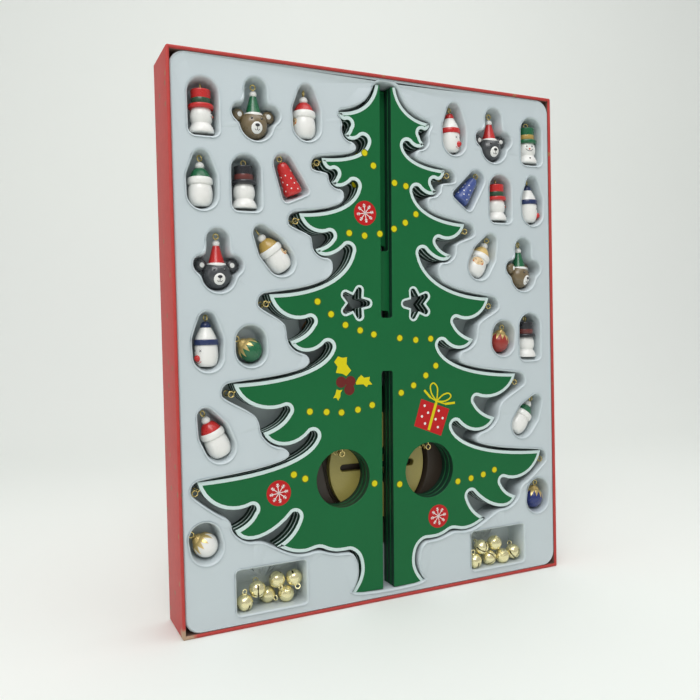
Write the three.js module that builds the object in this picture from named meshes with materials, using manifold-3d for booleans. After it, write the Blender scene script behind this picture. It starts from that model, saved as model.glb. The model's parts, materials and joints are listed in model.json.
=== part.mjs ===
// A boxed wooden Christmas tree set, standing upright as it is sold: an open-fronted carton,
// a formed plastic insert, three slotted tree panels, a slotted base disc, a topper star,
// 24 turned wooden ornaments and 12 jingle bells. Millimetres, +Z up, front towards -Y.
// The origin is the middle of the carton's underside.
import * as THREE from "three";
import { mergeVertices } from "three/addons/utils/BufferGeometryUtils.js";
import Module from "manifold-3d";

const wasm = await Module();
wasm.setup();

// Clearances
const seatGap = 0.3;
const insertSideGap = 0.4;

// Carton
const cartonWidth = 266.5;
const cartonHeight = 330;
const cartonDepth = 35.2;
const cartonWall = 2;

// Insert. Depths are measured inwards from the carton's front rim.
const insertSheet = 0.8;
const insertPlateDepth = 1.5;
const insertCornerRadius = 9;
const recessDraft = 0.5;
const pocketDraft = 1.2;
const pocketRamp = 1.6;
const insertHalfWidth = cartonWidth / 2 - cartonWall - insertSideGap;
const insertBottom = cartonWall + insertSideGap;
const insertTop = cartonHeight - cartonWall - insertSideGap;
const insertBackDepth = cartonDepth - cartonWall - seatGap;

// Places on the front are typed on a plan of the insert, [half width, top edge], and follow the real one.
const plan = [130.85, 327.6];

function across(x) {
  return (x * insertHalfWidth) / plan[0];
}

function up(z) {
  return (z * insertTop) / plan[1];
}

function onFront([x, z]) {
  return [across(x), up(z)];
}

// Tree panels: three boards that lie one behind the other and cross at 60 degrees when set up
const panelThickness = 4.2;
const panelSpacing = 0.6;
const panelFrontDepth = 2.5;
const crossingAngle = Math.PI / 3;
const slotPlay = 0.6;
const slotCornerRadius = 1.6;
const slotWidth = panelThickness * (1 / Math.sin(crossingAngle) + 1 / Math.tan(crossingAngle)) + slotPlay;

// The tree's outline, right half, in the tree's own frame: x from its axis, z from the carton's base.
// Each tier has a tip, a small hook under it, a barb and a wide bay under that.
const treeTopMargin = 3.6;
const treeTop = insertTop - treeTopMargin;
const treeTopHalfWidth = 7;
const treeFoot = 6.7;
const hookRadius = 2.6;
const bayRadius = 3.3;
const tiers = [
  { tip: [32.5, 304], hook: [26.4, 297.4], barb: [28.2, 290.6], bay: [15.6, 288.2] },
  { tip: [43.8, 275], hook: [35.6, 266.5], barb: [37.2, 261], bay: [22.4, 260] },
  { tip: [58.8, 240.8], hook: [38.8, 228.4], barb: [48.4, 219.8], bay: [26.6, 220.4] },
  { tip: [78.1, 192.2], hook: [52.1, 176.4], barb: [65.2, 164.4], bay: [40.8, 160.8] },
  { tip: [100.3, 140.3], hook: [68, 123.6], barb: [82.6, 110.9], bay: [51.2, 107.1] },
  { tip: [122, 85.5], hook: [89.7, 66.7], barb: [100.3, 55.4], bay: [63.3, 59.2] },
].map(({ tip, hook, barb, bay }) => ({
  tip: onFront(tip),
  hook: onFront(hook),
  barb: onFront(barb),
  bay: onFront(bay),
}));
const lowestBarb = onFront([74.8, 43]);
const skirtWave = [
  [66, 38.7],
  [57, 37.2],
  [48, 38.7],
  [42, 36.4],
  [36.8, 34.9],
  [31.5, 34.6],
  [26, 34.4],
  [21, 30],
  [19.2, 22],
  [21, 14.5],
].map(onFront);
const footHalfSpan = 26.6;
const treeLean = THREE.MathUtils.degToRad(0.9);
const leanPivot = onFront([1.1, 165]);

// Holes through the tree panels
const roundHoleRadius = 18;
const roundHoleCentre = onFront([31, 79.4]);
const starHoleCentre = onFront([21.9, 187.6]);
const starHoleRadius = 10.3;
const starHoleInnerRadius = 5.1;
const starTipRadius = 1.9;

// Where each panel's top slot and bottom slot end: the next board's bridge crosses there
const frontSlotEnds = [178.5, 145].map(up);
const middleSlotEnds = [221, 183].map(up);
const backBottomSlotEnd = up(225);

// Base disc and topper star, which lie in a well under the panels
const discRadius = 34.4;
const discCentre = onFront([0, 83]);
const discThickness = 4.5;
const discSlotPlay = 0.3;
const topperRadius = 16.5;
const topperInnerRadius = 8.4;
const topperTipRadius = 1.8;
const topperCentre = onFront([-37, 181]);

// The recess in the insert around the tree
const recessGap = 2.6;
const tipLobeRadius = 6.5;
const lobeOffset = [1.6, -4.9];
const lobeMargin = 4;

// Screw eyes
const treeEyeRadius = 1.9;
const treeEyeWire = 0.45;
const treeEyeNeck = 1.5;
const treeEyePlace = 0.12;
const ornamentEyeRadius = 1.5;
const ornamentEyeWire = 0.42;
const eyeShankLength = 5.5;

// Turned wooden ornaments: heights run along each ornament's own axis
const ornamentFrontDepth = 0.7;
const pocketSlack = 2.3;
const pocketHeadroom = 5.5;
const hatFigure = { height: 24.5, base: 7.3, waist: 6, head: 6.3, brim: 7.2, hat: 5.7, brimHeight: 14 };
const pomFigure = { height: 25.5, head: 7, brim: 7.2, hatTop: 3.1, pom: 2.6, brimHeight: 12.5 };
const noseFigure = {
  height: 26,
  body: 6.8,
  band: 7.1,
  shoulder: 6.2,
  cap: 2.7,
  nose: 1.9,
  noseHeight: 5,
  bandHeight: 12.5,
};
const bearFigure = {
  head: 8.2,
  headDepth: 7.2,
  ear: 3.7,
  earSpread: 9.2,
  earRise: 5.6,
  hat: 5.6,
  hatHeight: 12.2,
  pom: 2.2,
};
const coneBell = { height: 20.5, mouth: 5.7, shoulder: 3.4, pocketSlack: 3.8 };
const bauble = { radius: 7.4, capRadius: 3.4, capHeight: 1.6 };

// Jingle bells
const bellRadius = 5;
const bellWall = 0.5;
const bellSlit = 0.8;
const bellLoopRadius = 1.5;
const bellLoopWire = 0.42;
const bellPelletRadius = 1.2;

// Bell bins
const binWidth = 45;
const binHeight = 27.5;
const binBottom = 7;
const binCornerRadius = 3;
const binFloorDepth = 19;
const [leftBinCentre, rightBinCentre] = [-79.5, 83.3].map(across);

// How finely round shapes are cut into flats
const turnedSides = 8;
const cupSides = 12;
const holeSides = 16;
const ringSides = 6;
const wireSides = 3;

const finishes = {
  card: new THREE.MeshStandardMaterial({ color: 0xc4503f, roughness: 0.7, metalness: 0 }),
  plastic: new THREE.MeshStandardMaterial({ color: 0xbecbd0, roughness: 0.35, metalness: 0 }),
  treeGreen: new THREE.MeshStandardMaterial({ color: 0x237346, roughness: 0.5, metalness: 0 }),
  gold: new THREE.MeshStandardMaterial({ color: 0x96823c, roughness: 0.4, metalness: 0.3 }),
  brass: new THREE.MeshStandardMaterial({ color: 0xd2bb6e, roughness: 0.25, metalness: 1 }),
  topperOrange: new THREE.MeshStandardMaterial({ color: 0x9c6a24, roughness: 0.5, metalness: 0 }),
  red: new THREE.MeshStandardMaterial({ color: 0xc02a26, roughness: 0.35, metalness: 0 }),
  green: new THREE.MeshStandardMaterial({ color: 0x1f6b3c, roughness: 0.35, metalness: 0 }),
  black: new THREE.MeshStandardMaterial({ color: 0x232327, roughness: 0.35, metalness: 0 }),
  blue: new THREE.MeshStandardMaterial({ color: 0x22306e, roughness: 0.35, metalness: 0 }),
  white: new THREE.MeshStandardMaterial({ color: 0xe6e6e2, roughness: 0.4, metalness: 0 }),
  brown: new THREE.MeshStandardMaterial({ color: 0x6b5c3e, roughness: 0.4, metalness: 0 }),
  charcoal: new THREE.MeshStandardMaterial({ color: 0x3f4042, roughness: 0.4, metalness: 0 }),
  cream: new THREE.MeshStandardMaterial({ color: 0xc9a660, roughness: 0.4, metalness: 0 }),
};

// Solids

function solid(geometry) {
  const bare = geometry.clone();
  bare.deleteAttribute("normal");
  bare.deleteAttribute("uv");
  const merged = mergeVertices(bare, 1e-4);
  return new wasm.Manifold(
    new wasm.Mesh({
      numProp: 3,
      vertProperties: merged.attributes.position.array,
      triVerts: new Uint32Array(merged.index.array),
    }),
  );
}

function geometryOf(body) {
  const mesh = body.getMesh();
  const geometry = new THREE.BufferGeometry();
  geometry.setAttribute("position", new THREE.BufferAttribute(mesh.vertProperties, 3));
  geometry.setIndex(new THREE.BufferAttribute(mesh.triVerts, 1));
  return geometry;
}

function join(first, ...others) {
  return others.reduce((sum, other) => sum.add(other), first);
}

function named(name, geometry, finish) {
  const mesh = new THREE.Mesh(geometry, finish);
  mesh.name = name;
  return mesh;
}

// A depth behind the carton's rim, as a place along Y.
function atDepth(depth) {
  return depth - cartonDepth / 2;
}

// Outlines are lists of THREE.Vector2 that run anticlockwise, x to the right and y up the carton.

function point([x, z]) {
  return new THREE.Vector2(x, z);
}

function flip(points) {
  return points.map((p) => new THREE.Vector2(-p.x, p.y)).reverse();
}

// The outline that wraps tightly round some circles, each [x, z, radius].
// The count of sides is a multiple of 4.
function wrapCircles(circles, grow, sides) {
  return Array.from({ length: sides }, (_, i) => {
    const angle = (2 * Math.PI * (i + 0.5)) / sides;
    const out = new THREE.Vector2(Math.cos(angle), Math.sin(angle));
    const reach = ([x, z, r]) => out.x * x + out.y * z + r + grow;
    const widest = circles.reduce((a, b) => (reach(b) > reach(a) ? b : a));
    return point(widest).addScaledVector(out, widest[2] + grow);
  });
}

// Every corner of an outline moved outwards by the same distance.
function offsetOutline(points, distance) {
  const count = points.length;
  return points.map((p, i) => {
    const before = p.clone().sub(points[(i + count - 1) % count]).normalize();
    const after = points[(i + 1) % count].clone().sub(p).normalize();
    const along = before.clone().add(after).normalize();
    const out = new THREE.Vector2(along.y, -along.x);
    const stretch = Math.min(1.6, 1 / Math.max(0.4, along.dot(after)));
    return p.clone().addScaledVector(out, distance * stretch);
  });
}

// The closed skin between an outline at one depth and its partner at a greater depth.
function loft(frontOutline, frontDepth, backOutline, backDepth) {
  const count = frontOutline.length;
  const corners = [
    ...frontOutline.map((p) => [p.x, atDepth(frontDepth), p.y]),
    ...backOutline.map((p) => [p.x, atDepth(backDepth), p.y]),
  ];
  const faces = [];
  for (const [a, b, c] of THREE.ShapeUtils.triangulateShape(frontOutline, [])) {
    faces.push(a, b, c);
  }
  for (const [a, b, c] of THREE.ShapeUtils.triangulateShape(backOutline, [])) {
    faces.push(count + a, count + c, count + b);
  }
  for (let i = 0; i < count; i++) {
    const next = (i + 1) % count;
    faces.push(i, count + i, next);
    faces.push(next, count + i, count + next);
  }
  const geometry = new THREE.BufferGeometry();
  geometry.setAttribute("position", new THREE.BufferAttribute(new Float32Array(corners.flat()), 3));
  geometry.setIndex(faces);
  return geometry;
}

// A flat board with its front face at a depth.
function board(outline, holes, frontDepth, thickness) {
  const shape = new THREE.Shape(outline);
  shape.holes = holes.map((hole) => new THREE.Path(hole));
  const geometry = new THREE.ExtrudeGeometry(shape, { depth: thickness, bevelEnabled: false });
  geometry.rotateX(Math.PI / 2);
  geometry.translate(0, atDepth(frontDepth + thickness), 0);
  return geometry;
}

function circleOutline([x, z], radius, sides) {
  return wrapCircles([[x, z, radius]], 0, sides);
}

// A five-pointed star with rounded tips, one of them at the given angle, in degrees.
function starOutline(centre, radius, innerRadius, tipRadius, firstAngle) {
  const outline = [];
  for (let arm = 0; arm < 5; arm++) {
    const middle = firstAngle + 72 * arm;
    const tipCentre = onCircle(centre, radius - tipRadius, middle);
    outline.push(...[-65, 0, 65].map((turn) => point(onCircle(tipCentre, tipRadius, middle + turn))));
    outline.push(point(onCircle(centre, innerRadius, middle + 36)));
  }
  return outline;
}

// Tree outline

function mix(a, b, share) {
  return a + (b - a) * share;
}

function onCircle([x, z], radius, degrees) {
  const angle = THREE.MathUtils.degToRad(degrees);
  return [x + radius * Math.cos(angle), z + radius * Math.sin(angle)];
}

// The upper edge of a tier, which sweeps out from the bay above it, or from the treetop, to its tip.
function sweepOf(tier) {
  const start = tier > 0 ? onCircle(tiers[tier - 1].bay, bayRadius, 205) : [treeTopHalfWidth, treeTop];
  const { tip } = tiers[tier];
  return new THREE.CubicBezierCurve(
    point(start),
    point([mix(start[0], tip[0], 0.07), mix(start[1], tip[1], 0.6)]),
    point([mix(start[0], tip[0], 0.45), mix(start[1], tip[1], 0.98)]),
    point(tip),
  );
}

// The underside of a tier's tip, in to its hook.
function underOf({ tip, hook }) {
  const hookTop = onCircle(hook, hookRadius, 75);
  return new THREE.CubicBezierCurve(
    point(tip),
    point([mix(tip[0], hookTop[0], 0.12), mix(tip[1], hookTop[1], 0.95)]),
    point([mix(hookTop[0], tip[0], 0.36), mix(hookTop[1], tip[1], -0.3)]),
    point(hookTop),
  );
}

// The edge that bellies down from a tier's barb and up into its bay.
function bellyOf({ barb, bay }) {
  const bayTop = onCircle(bay, bayRadius, 60);
  const span = barb[0] - bayTop[0];
  return new THREE.CubicBezierCurve(
    point(barb),
    point([barb[0] - 0.12 * span, barb[1] - 0.32 * span]),
    point([bayTop[0] + 0.34 * span, bayTop[1] - 0.38 * span]),
    point(bayTop),
  );
}

function arcPoints(centre, radius, from, to, steps) {
  return Array.from({ length: steps }, (_, i) => point(onCircle(centre, radius, mix(from, to, i / steps))));
}

// The short hollow edge that runs out and down from a notch to the barb below it.
function hollowPoints(start, barb) {
  const bend = [mix(start[0], barb[0], 0.25), mix(start[1], barb[1], 0.7)];
  return new THREE.QuadraticBezierCurve(point(start), point(bend), point(barb)).getPoints(2).slice(0, -1);
}

// The right half of the tree, from the top down to the foot.
function treeHalf() {
  const edge = tiers.flatMap((tier, i) => [
    ...sweepOf(i).getPoints(4).slice(0, -1),
    ...underOf(tier).getPoints(3).slice(0, -1),
    ...arcPoints(tier.hook, hookRadius, 75, 230, 3),
    ...hollowPoints(onCircle(tier.hook, hookRadius, 230), tier.barb),
    ...bellyOf(tier).getPoints(3).slice(0, -1),
    ...arcPoints(tier.bay, bayRadius, 60, 205, 3),
  ]);
  const lastBayEnd = onCircle(tiers.at(-1).bay, bayRadius, 205);
  edge.push(...hollowPoints(lastBayEnd, lowestBarb), point(lowestBarb), ...skirtWave.map(point));
  edge.push(point([footHalfSpan, treeFoot]));
  return edge;
}

// A panel's outline with its central slots, as two rounded notches. A missing end means no slot there.
function panelOutline(topSlotEnd, bottomSlotEnd) {
  const halfSlot = slotWidth / 2;
  const right = treeHalf();
  const left = flip(right);
  const outline = [...right];
  const corner = halfSlot - slotCornerRadius;

  function slotEnd(end, inwards) {
    const arc = [0, 45, 90].map((degrees) => {
      const [x, z] = onCircle([corner, 0], slotCornerRadius, degrees);
      return point([x, end + inwards * (z - slotCornerRadius)]);
    });
    return [...arc, ...flip(arc)];
  }

  if (bottomSlotEnd !== undefined) {
    outline.push(point([halfSlot, treeFoot]), ...slotEnd(bottomSlotEnd, 1), point([-halfSlot, treeFoot]));
  }
  outline.push(...left);
  if (topSlotEnd !== undefined) {
    const bottom = slotEnd(topSlotEnd, -1).reverse();
    outline.push(point([-halfSlot, treeTop]), ...bottom, point([halfSlot, treeTop]));
  }
  return outline.reverse();
}

function panelHoles() {
  const [roundX, roundZ] = roundHoleCentre;
  const [starX, starZ] = starHoleCentre;
  return [
    circleOutline([roundX, roundZ], roundHoleRadius, holeSides),
    circleOutline([-roundX, roundZ], roundHoleRadius, holeSides),
    starOutline([starX, starZ], starHoleRadius, starHoleInnerRadius, starTipRadius, 180),
    starOutline([-starX, starZ], starHoleRadius, starHoleInnerRadius, starTipRadius, 0),
  ];
}

// Screw eyes

// A ring on a shank. The ring hangs towards -Z, and the shank runs up +Z into wood that starts at z = 0.
function eyeGeometry(radius, wire, neck, shank) {
  const ring = new THREE.TorusGeometry(radius, wire, wireSides, ringSides);
  ring.rotateX(Math.PI / 2);
  ring.translate(0, 0, -neck - radius);
  const stem = new THREE.CylinderGeometry(wire, wire, neck + shank, wireSides);
  stem.rotateX(Math.PI / 2);
  stem.translate(0, 0, (shank - neck) / 2);
  return geometryOf(solid(ring).add(solid(stem)));
}

// Places of the screw eyes on a panel: the edge point where the shank goes in, and the way it hangs.
function treeEyes() {
  const eyes = [];
  for (const side of [-1, 1]) {
    const word = side < 0 ? "left" : "right";
    tiers.slice(1).forEach((tier, i) => {
      const under = underOf(tier);
      const { x, y } = under.getPoint(treeEyePlace);
      const along = under.getTangent(treeEyePlace);
      const hang = side * Math.atan2(-along.y, -along.x);
      eyes.push({ name: `${word}_tier_${i + 2}`, edge: [side * x, y], hang });
    });
    const [holeX, holeZ] = roundHoleCentre;
    eyes.push({ name: `${word}_hole`, edge: [side * holeX, holeZ + roundHoleRadius], hang: 0 });
  }
  return eyes;
}

// An eye, or the pilot hole for it, put at its place on a board whose middle is at a depth.
function atEye(geometry, { edge, hang }, middleDepth) {
  const placed = geometry.clone();
  placed.rotateY(-hang);
  placed.translate(edge[0], atDepth(middleDepth), edge[1]);
  return placed;
}

// Panels

const panelPitch = panelThickness + panelSpacing;
const eye = eyeGeometry(treeEyeRadius, treeEyeWire, treeEyeNeck, eyeShankLength);
const pilotRadius = (treeEyeWire + seatGap) * Math.SQRT2;
const pilotHole = new THREE.CylinderGeometry(pilotRadius, pilotRadius, 2 * (eyeShankLength + seatGap), 4);
pilotHole.rotateX(Math.PI / 2);

function panelBody(index, topSlotEnd, bottomSlotEnd) {
  const front = panelFrontDepth + index * panelPitch;
  return solid(board(panelOutline(topSlotEnd, bottomSlotEnd), panelHoles(), front, panelThickness));
}

function panelMiddle(index) {
  return panelFrontDepth + index * panelPitch + panelThickness / 2;
}

// The middle and back panels hold their eyes as one solid, and the front panel's eyes are pieces.
function panelWithEyes(index, topSlotEnd, bottomSlotEnd) {
  const eyes = treeEyes().map((place) => solid(atEye(eye, place, panelMiddle(index))));
  return geometryOf(join(panelBody(index, topSlotEnd, bottomSlotEnd), ...eyes));
}

const tree = new THREE.Group();
tree.rotation.y = treeLean;
tree.position.set(
  leanPivot[0] - leanPivot[1] * Math.sin(treeLean),
  0,
  leanPivot[1] - leanPivot[1] * Math.cos(treeLean),
);

const frontBody = treeEyes().reduce(
  (body, place) => body.subtract(solid(atEye(pilotHole, place, panelMiddle(0)))),
  panelBody(0, ...frontSlotEnds),
);
tree.add(named("tree_panel_front", geometryOf(frontBody), finishes.treeGreen));
const middleBoard = panelWithEyes(1, ...middleSlotEnds);
tree.add(named("tree_panel_middle", middleBoard, finishes.treeGreen));
tree.add(named("tree_panel_back", panelWithEyes(2, undefined, backBottomSlotEnd), finishes.treeGreen));
for (const place of treeEyes()) {
  tree.add(named(`screw_eye_${place.name}`, atEye(eye, place, panelMiddle(0)), finishes.brass));
}

// Base disc with three crossed slots for the panels' feet, and the topper star beside it

const stackBackDepth = panelFrontDepth + 3 * panelThickness + 2 * panelSpacing;
const discFrontDepth = stackBackDepth + seatGap + 0.1;
const discBackDepth = discFrontDepth + discThickness;
const discSlotWidth = panelThickness + discSlotPlay;

function discGeometry() {
  const rim = circleOutline(discCentre, discRadius, 2 * holeSides);
  let disc = solid(board(rim, [], discFrontDepth, discThickness));
  const halfLength = footHalfSpan + discSlotPlay;
  const endRadius = discSlotWidth / 2 / Math.cos(Math.PI / cupSides);
  for (const turn of [0, crossingAngle, 2 * crossingAngle]) {
    const reach = halfLength - endRadius;
    const slot = wrapCircles(
      [-1, 1].map((way) => [
        discCentre[0] + way * reach * Math.cos(turn),
        discCentre[1] + way * reach * Math.sin(turn),
        endRadius,
      ]),
      0,
      cupSides,
    );
    disc = disc.subtract(solid(loft(slot, discFrontDepth - 1, slot, discBackDepth + 1)));
  }
  return geometryOf(disc);
}

const topperOutline = starOutline(topperCentre, topperRadius, topperInnerRadius, topperTipRadius, 0);
tree.add(named("base_disc", discGeometry(), finishes.gold));
const topperStar = board(topperOutline, [], discFrontDepth, discThickness);
tree.add(named("topper_star", topperStar, finishes.topperOrange));

// Ornaments, each standing on z = 0 and looking towards -Y

function turned(profile) {
  const lathe = new THREE.LatheGeometry(profile.map(([r, z]) => new THREE.Vector2(r, z)), turnedSides);
  lathe.rotateX(Math.PI / 2);
  return solid(lathe);
}

function ball(radius, place, squeeze = [1, 1, 1], sides = 6) {
  const sphere = new THREE.SphereGeometry(radius, sides, sides - 2);
  sphere.rotateX(Math.PI / 2);
  sphere.scale(...squeeze);
  sphere.translate(...place);
  return solid(sphere);
}

// The eye screwed into an ornament's top, with its shank down inside the wood.
function topEye(top) {
  const hook = eyeGeometry(ornamentEyeRadius, ornamentEyeWire, ornamentEyeWire, 2);
  hook.rotateX(Math.PI);
  hook.translate(0, 0, top);
  return solid(hook);
}

const eyeHeight = 2 * (ornamentEyeRadius + ornamentEyeWire);

function buildHatFigure({ height, base, waist, head, brim, hat, brimHeight }) {
  const profile = [
    [0, 0],
    [base, 0.6],
    [waist, 5.2],
    [head, 9],
    [waist, brimHeight],
    [brim, brimHeight + 0.6],
    [brim, brimHeight + 2.4],
    [hat - 0.2, brimHeight + 2.8],
    [hat, height],
    [0, height],
  ];
  return turned(profile);
}

function buildPomFigure({ height, head, brim, hatTop, pom, brimHeight }) {
  const profile = [
    [0, 0],
    [head - 3, 0.4],
    [head - 0.6, 3.4],
    [head, 7.5],
    [head - 0.7, brimHeight],
    [brim, brimHeight + 1],
    [brim, brimHeight + 3.4],
    [brim - 1.6, brimHeight + 4.3],
    [hatTop, height - 2 * pom + 0.6],
    [pom, height - pom],
    [pom * 0.7, height - 0.5],
    [0, height],
  ];
  return turned(profile);
}

function buildNoseFigure({ height, body, band, shoulder, cap, nose, noseHeight, bandHeight }) {
  const profile = [
    [0, 0],
    [body - 2.6, 0.3],
    [body - 0.3, 3.6],
    [body, 8],
    [body - 0.4, bandHeight],
    [band, bandHeight + 0.3],
    [band - 0.3, bandHeight + 3],
    [shoulder, bandHeight + 3.2],
    [cap + 0.4, height - 4],
    [cap, height - 2],
    [0, height],
  ];
  return turned(profile).add(ball(nose, [0, -body - 0.1, noseHeight]));
}

function buildBear({ head, headDepth, ear, earSpread, earRise, hat, hatHeight, pom }) {
  const skull = ball(head, [0, 0, head], [1, headDepth / head, 1], 8);
  const ears = [-1, 1].map((side) => ball(ear, [side * earSpread, 0.6, head + earRise], [1, 0.7, 1]));
  const muzzle = ball(head * 0.42, [0, -headDepth * 0.62, head * 0.72], [1, 0.8, 0.85]);
  const brimBottom = head * 1.62;
  const hatTop = brimBottom + hatHeight;
  const cone = turned(
    [
      [0, brimBottom - 2],
      [hat, brimBottom - 0.4],
      [hat, brimBottom + 1.6],
      [hat - 1, brimBottom + 1.8],
      [pom * 0.8, hatTop - 0.4],
      [pom, hatTop + 0.4 * pom],
      [0, hatTop + 1.3 * pom],
    ],
  );
  return join(skull, ...ears, muzzle, cone);
}

function bearHeight({ head, hatHeight, pom }) {
  return head * 1.62 + hatHeight + pom * 1.3;
}

function buildConeBell({ height, mouth, shoulder }) {
  const profile = [
    [0, 0],
    [mouth - 1.4, 0.3],
    [mouth, 2],
    [mouth - 0.4, 5],
    [shoulder + 0.9, height * 0.62],
    [shoulder, height - 2.4],
    [shoulder - 1.6, height - 0.4],
    [0, height],
  ];
  return turned(profile);
}

function buildBauble({ radius, capRadius, capHeight }) {
  const profile = [
    [0, 0],
    [radius * 0.55, radius * 0.16],
    [radius * 0.9, radius * 0.55],
    [radius, radius],
    [radius * 0.88, radius * 1.5],
    [capRadius, radius * 1.9],
    [capRadius * 0.8, radius * 1.9 + capHeight],
    [0, radius * 1.95 + capHeight],
  ];
  return turned(profile);
}

const bearStand = 2.6;
const baubleHeight = bauble.radius * 1.95 + bauble.capHeight;

// For each kind: the wooden body, its height and half depth, and the circles that its pocket wraps.
// A pocket's circles are in the ornament's own frame, with its lowest point at z = 0.
const kinds = {
  hat: {
    body: buildHatFigure(hatFigure),
    stand: 2.9,
    height: hatFigure.height,
    halfDepth: hatFigure.base,
    pocket: (length, ramp) => {
      const half = hatFigure.base + pocketSlack;
      return [squarePocket(half, half / 2, half, length, ramp)];
    },
  },
  pom: {
    body: buildPomFigure(pomFigure),
    stand: 3,
    height: pomFigure.height,
    halfDepth: pomFigure.brim,
    pocket: (length, ramp) => [
      [
        ...eggPocket(pomFigure.brim + pocketSlack, pomFigure.pom + pocketSlack + 0.8, length, ramp),
        [0, pomFigure.brimHeight + 5.5, pomFigure.brim + 2.5],
      ],
    ],
  },
  nose: {
    body: buildNoseFigure(noseFigure),
    stand: 3.2,
    height: noseFigure.height,
    halfDepth: noseFigure.band,
    pocket: (length, ramp) => [
      [
        ...eggPocket(noseFigure.band + pocketSlack, noseFigure.cap + pocketSlack + 0.8, length, ramp),
        [0, noseFigure.bandHeight + 5.5, noseFigure.band + 2.7],
      ],
    ],
  },
  bear: {
    body: buildBear(bearFigure),
    stand: bearStand,
    height: bearHeight(bearFigure),
    halfDepth: bearFigure.headDepth,
    pocket: (length, ramp) => {
      const { head, ear, earSpread, earRise, hat } = bearFigure;
      const earRoom = ear + pocketSlack;
      const hatRoom = hat + 1.8;
      return [
        [[0, head + pocketSlack + ramp, head + pocketSlack]],
        [
          [-earSpread, head + earRise + bearStand, earRoom],
          [earSpread, head + earRise + bearStand, earRoom],
        ],
        [
          [0, head + earRise + bearStand, hatRoom],
          [0, length - hatRoom, hatRoom],
        ],
      ];
    },
  },
  bell: {
    body: buildConeBell(coneBell),
    stand: 3.2,
    height: coneBell.height,
    halfDepth: coneBell.mouth,
    pocket: (length, ramp) => [
      squarePocket(coneBell.mouth + coneBell.pocketSlack, 3.5, coneBell.shoulder + 3.4, length - 1.2, ramp),
    ],
  },
  bauble: {
    body: buildBauble(bauble),
    stand: 2.7,
    height: baubleHeight,
    halfDepth: bauble.radius,
    pocket: (length, ramp) => [eggPocket(bauble.radius + 2.6, bauble.radius + 2.5, length, ramp)],
  },
};

// A pocket with a round lower end, raised by the ramp, and a round upper end.
function eggPocket(lowerRadius, upperRadius, length, ramp) {
  return [
    [0, lowerRadius + ramp, lowerRadius],
    [0, length - upperRadius, upperRadius],
  ];
}

// A pocket with two lower corners, raised by the ramp, and a round upper end.
function squarePocket(half, cornerRadius, upperRadius, length, ramp) {
  return [
    [cornerRadius - half, cornerRadius + ramp, cornerRadius],
    [half - cornerRadius, cornerRadius + ramp, cornerRadius],
    [0, length - upperRadius, upperRadius],
  ];
}

function ornament(name, kind, finish, at, { tilt = 0, aside, turn = 0, lean = 0 }) {
  return { name, kind, finish, at: onFront(at), tilt, aside, turn, lean };
}

// Every ornament: its name, kind and finish, where its pocket's lowest point is, how far the pocket tilts
// to the right, how far the ornament stands to the right in it, how far it turns to its left and leans over.
const ornaments = [
  ornament("snowman_red_top_hat", "hat", "white", [-113, 281.6], { aside: 0.3, turn: -20 }),
  ornament("bear_green_hat", "bear", "brown", [-82, 281.4], { aside: 0.3, turn: 0 }),
  ornament("beard_head_red_hat", "pom", "red", [-50.5, 284], { aside: 0.58, turn: 60 }),
  ornament("snowman_green_pom_hat", "pom", "green", [-114.8, 240.2], { aside: 0.4, turn: 160 }),
  ornament("snowman_black_top_hat", "hat", "black", [-88.9, 240.4], { aside: 0.3, turn: 170 }),
  ornament("cone_bell_red", "bell", "red", [-57.4, 249.6], { tilt: -23, aside: 0.7, turn: 0 }),
  ornament("bear_red_hat", "bear", "charcoal", [-106.6, 193.8], { aside: 0.4, turn: 0 }),
  ornament("beard_head_gold_hat", "pom", "cream", [-63.3, 205.3], { tilt: -36.6, aside: 0.51, turn: -50 }),
  ornament("snowman_blue_cap", "nose", "white", [-114, 149], { aside: 0.4, turn: 62 }),
  ornament("bauble_green", "bauble", "green", [-88.6, 150.8], { aside: 1.3, lean: -50 }),
  ornament("snowman_red_pom_hat", "pom", "red", [-104.5, 97.6], { tilt: -24, aside: 0.2, turn: 150 }),
  ornament("bauble_white", "bauble", "white", [-115.6, 39.8], { tilt: -12, aside: 0.7, lean: -38 }),
  ornament("snowman_red_cap", "nose", "white", [53.9, 284], { aside: 0.35, turn: -27 }),
  ornament("bear_red_hat_dark", "bear", "charcoal", [85.4, 281.4], { aside: 0.65, turn: 0 }),
  ornament("snowman_green_top_hat", "hat", "green", [117, 281.8], { aside: 0.61, turn: 0 }),
  ornament("cone_bell_blue", "bell", "blue", [57.4, 252.6], { tilt: 38, aside: 0.2, turn: 0 }),
  ornament("snowman_red_top_hat_second", "hat", "red", [90.2, 241], { aside: 0.5, turn: -60 }),
  ornament("snowman_blue_cap_second", "nose", "white", [117.3, 240.4], { aside: 0.35, turn: -55 }),
  ornament("beard_head_cream_hat", "pom", "cream", [67.4, 203.6], { tilt: 28.7, aside: 0.58, turn: 0 }),
  ornament("bear_green_hat_second", "bear", "brown", [108.5, 195], { aside: 0.65, turn: -22 }),
  ornament("bauble_red", "bauble", "red", [89, 150.8], { tilt: 8, aside: 0.72, lean: 10 }),
  ornament("snowman_black_top_hat_second", "hat", "black", [113.4, 146.8], { aside: 0.65, turn: 160 }),
  ornament("snowman_green_pom_hat_second", "pom", "green", [99.7, 95.5], {
    tilt: 38,
    aside: -0.3,
    turn: 160,
  }),
  ornament("bauble_blue", "bauble", "blue", [116.4, 39.6], { tilt: 8, aside: 0.65, lean: 6 }),
];

// How far behind the rim an ornament's pocket has its floor.
function pocketFloor(kind) {
  return ornamentFrontDepth + 2 * kinds[kind].halfDepth + seatGap;
}

function pocketLength(kind) {
  return kinds[kind].height + eyeHeight + pocketHeadroom;
}

// A place in an ornament's frame, with its tilt, carried to the carton's front.
function tiltTo([x, z], { at, tilt }) {
  const angle = THREE.MathUtils.degToRad(tilt);
  const cos = Math.cos(angle);
  const sin = Math.sin(angle);
  return [at[0] + x * cos + z * sin, at[1] - x * sin + z * cos];
}

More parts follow.
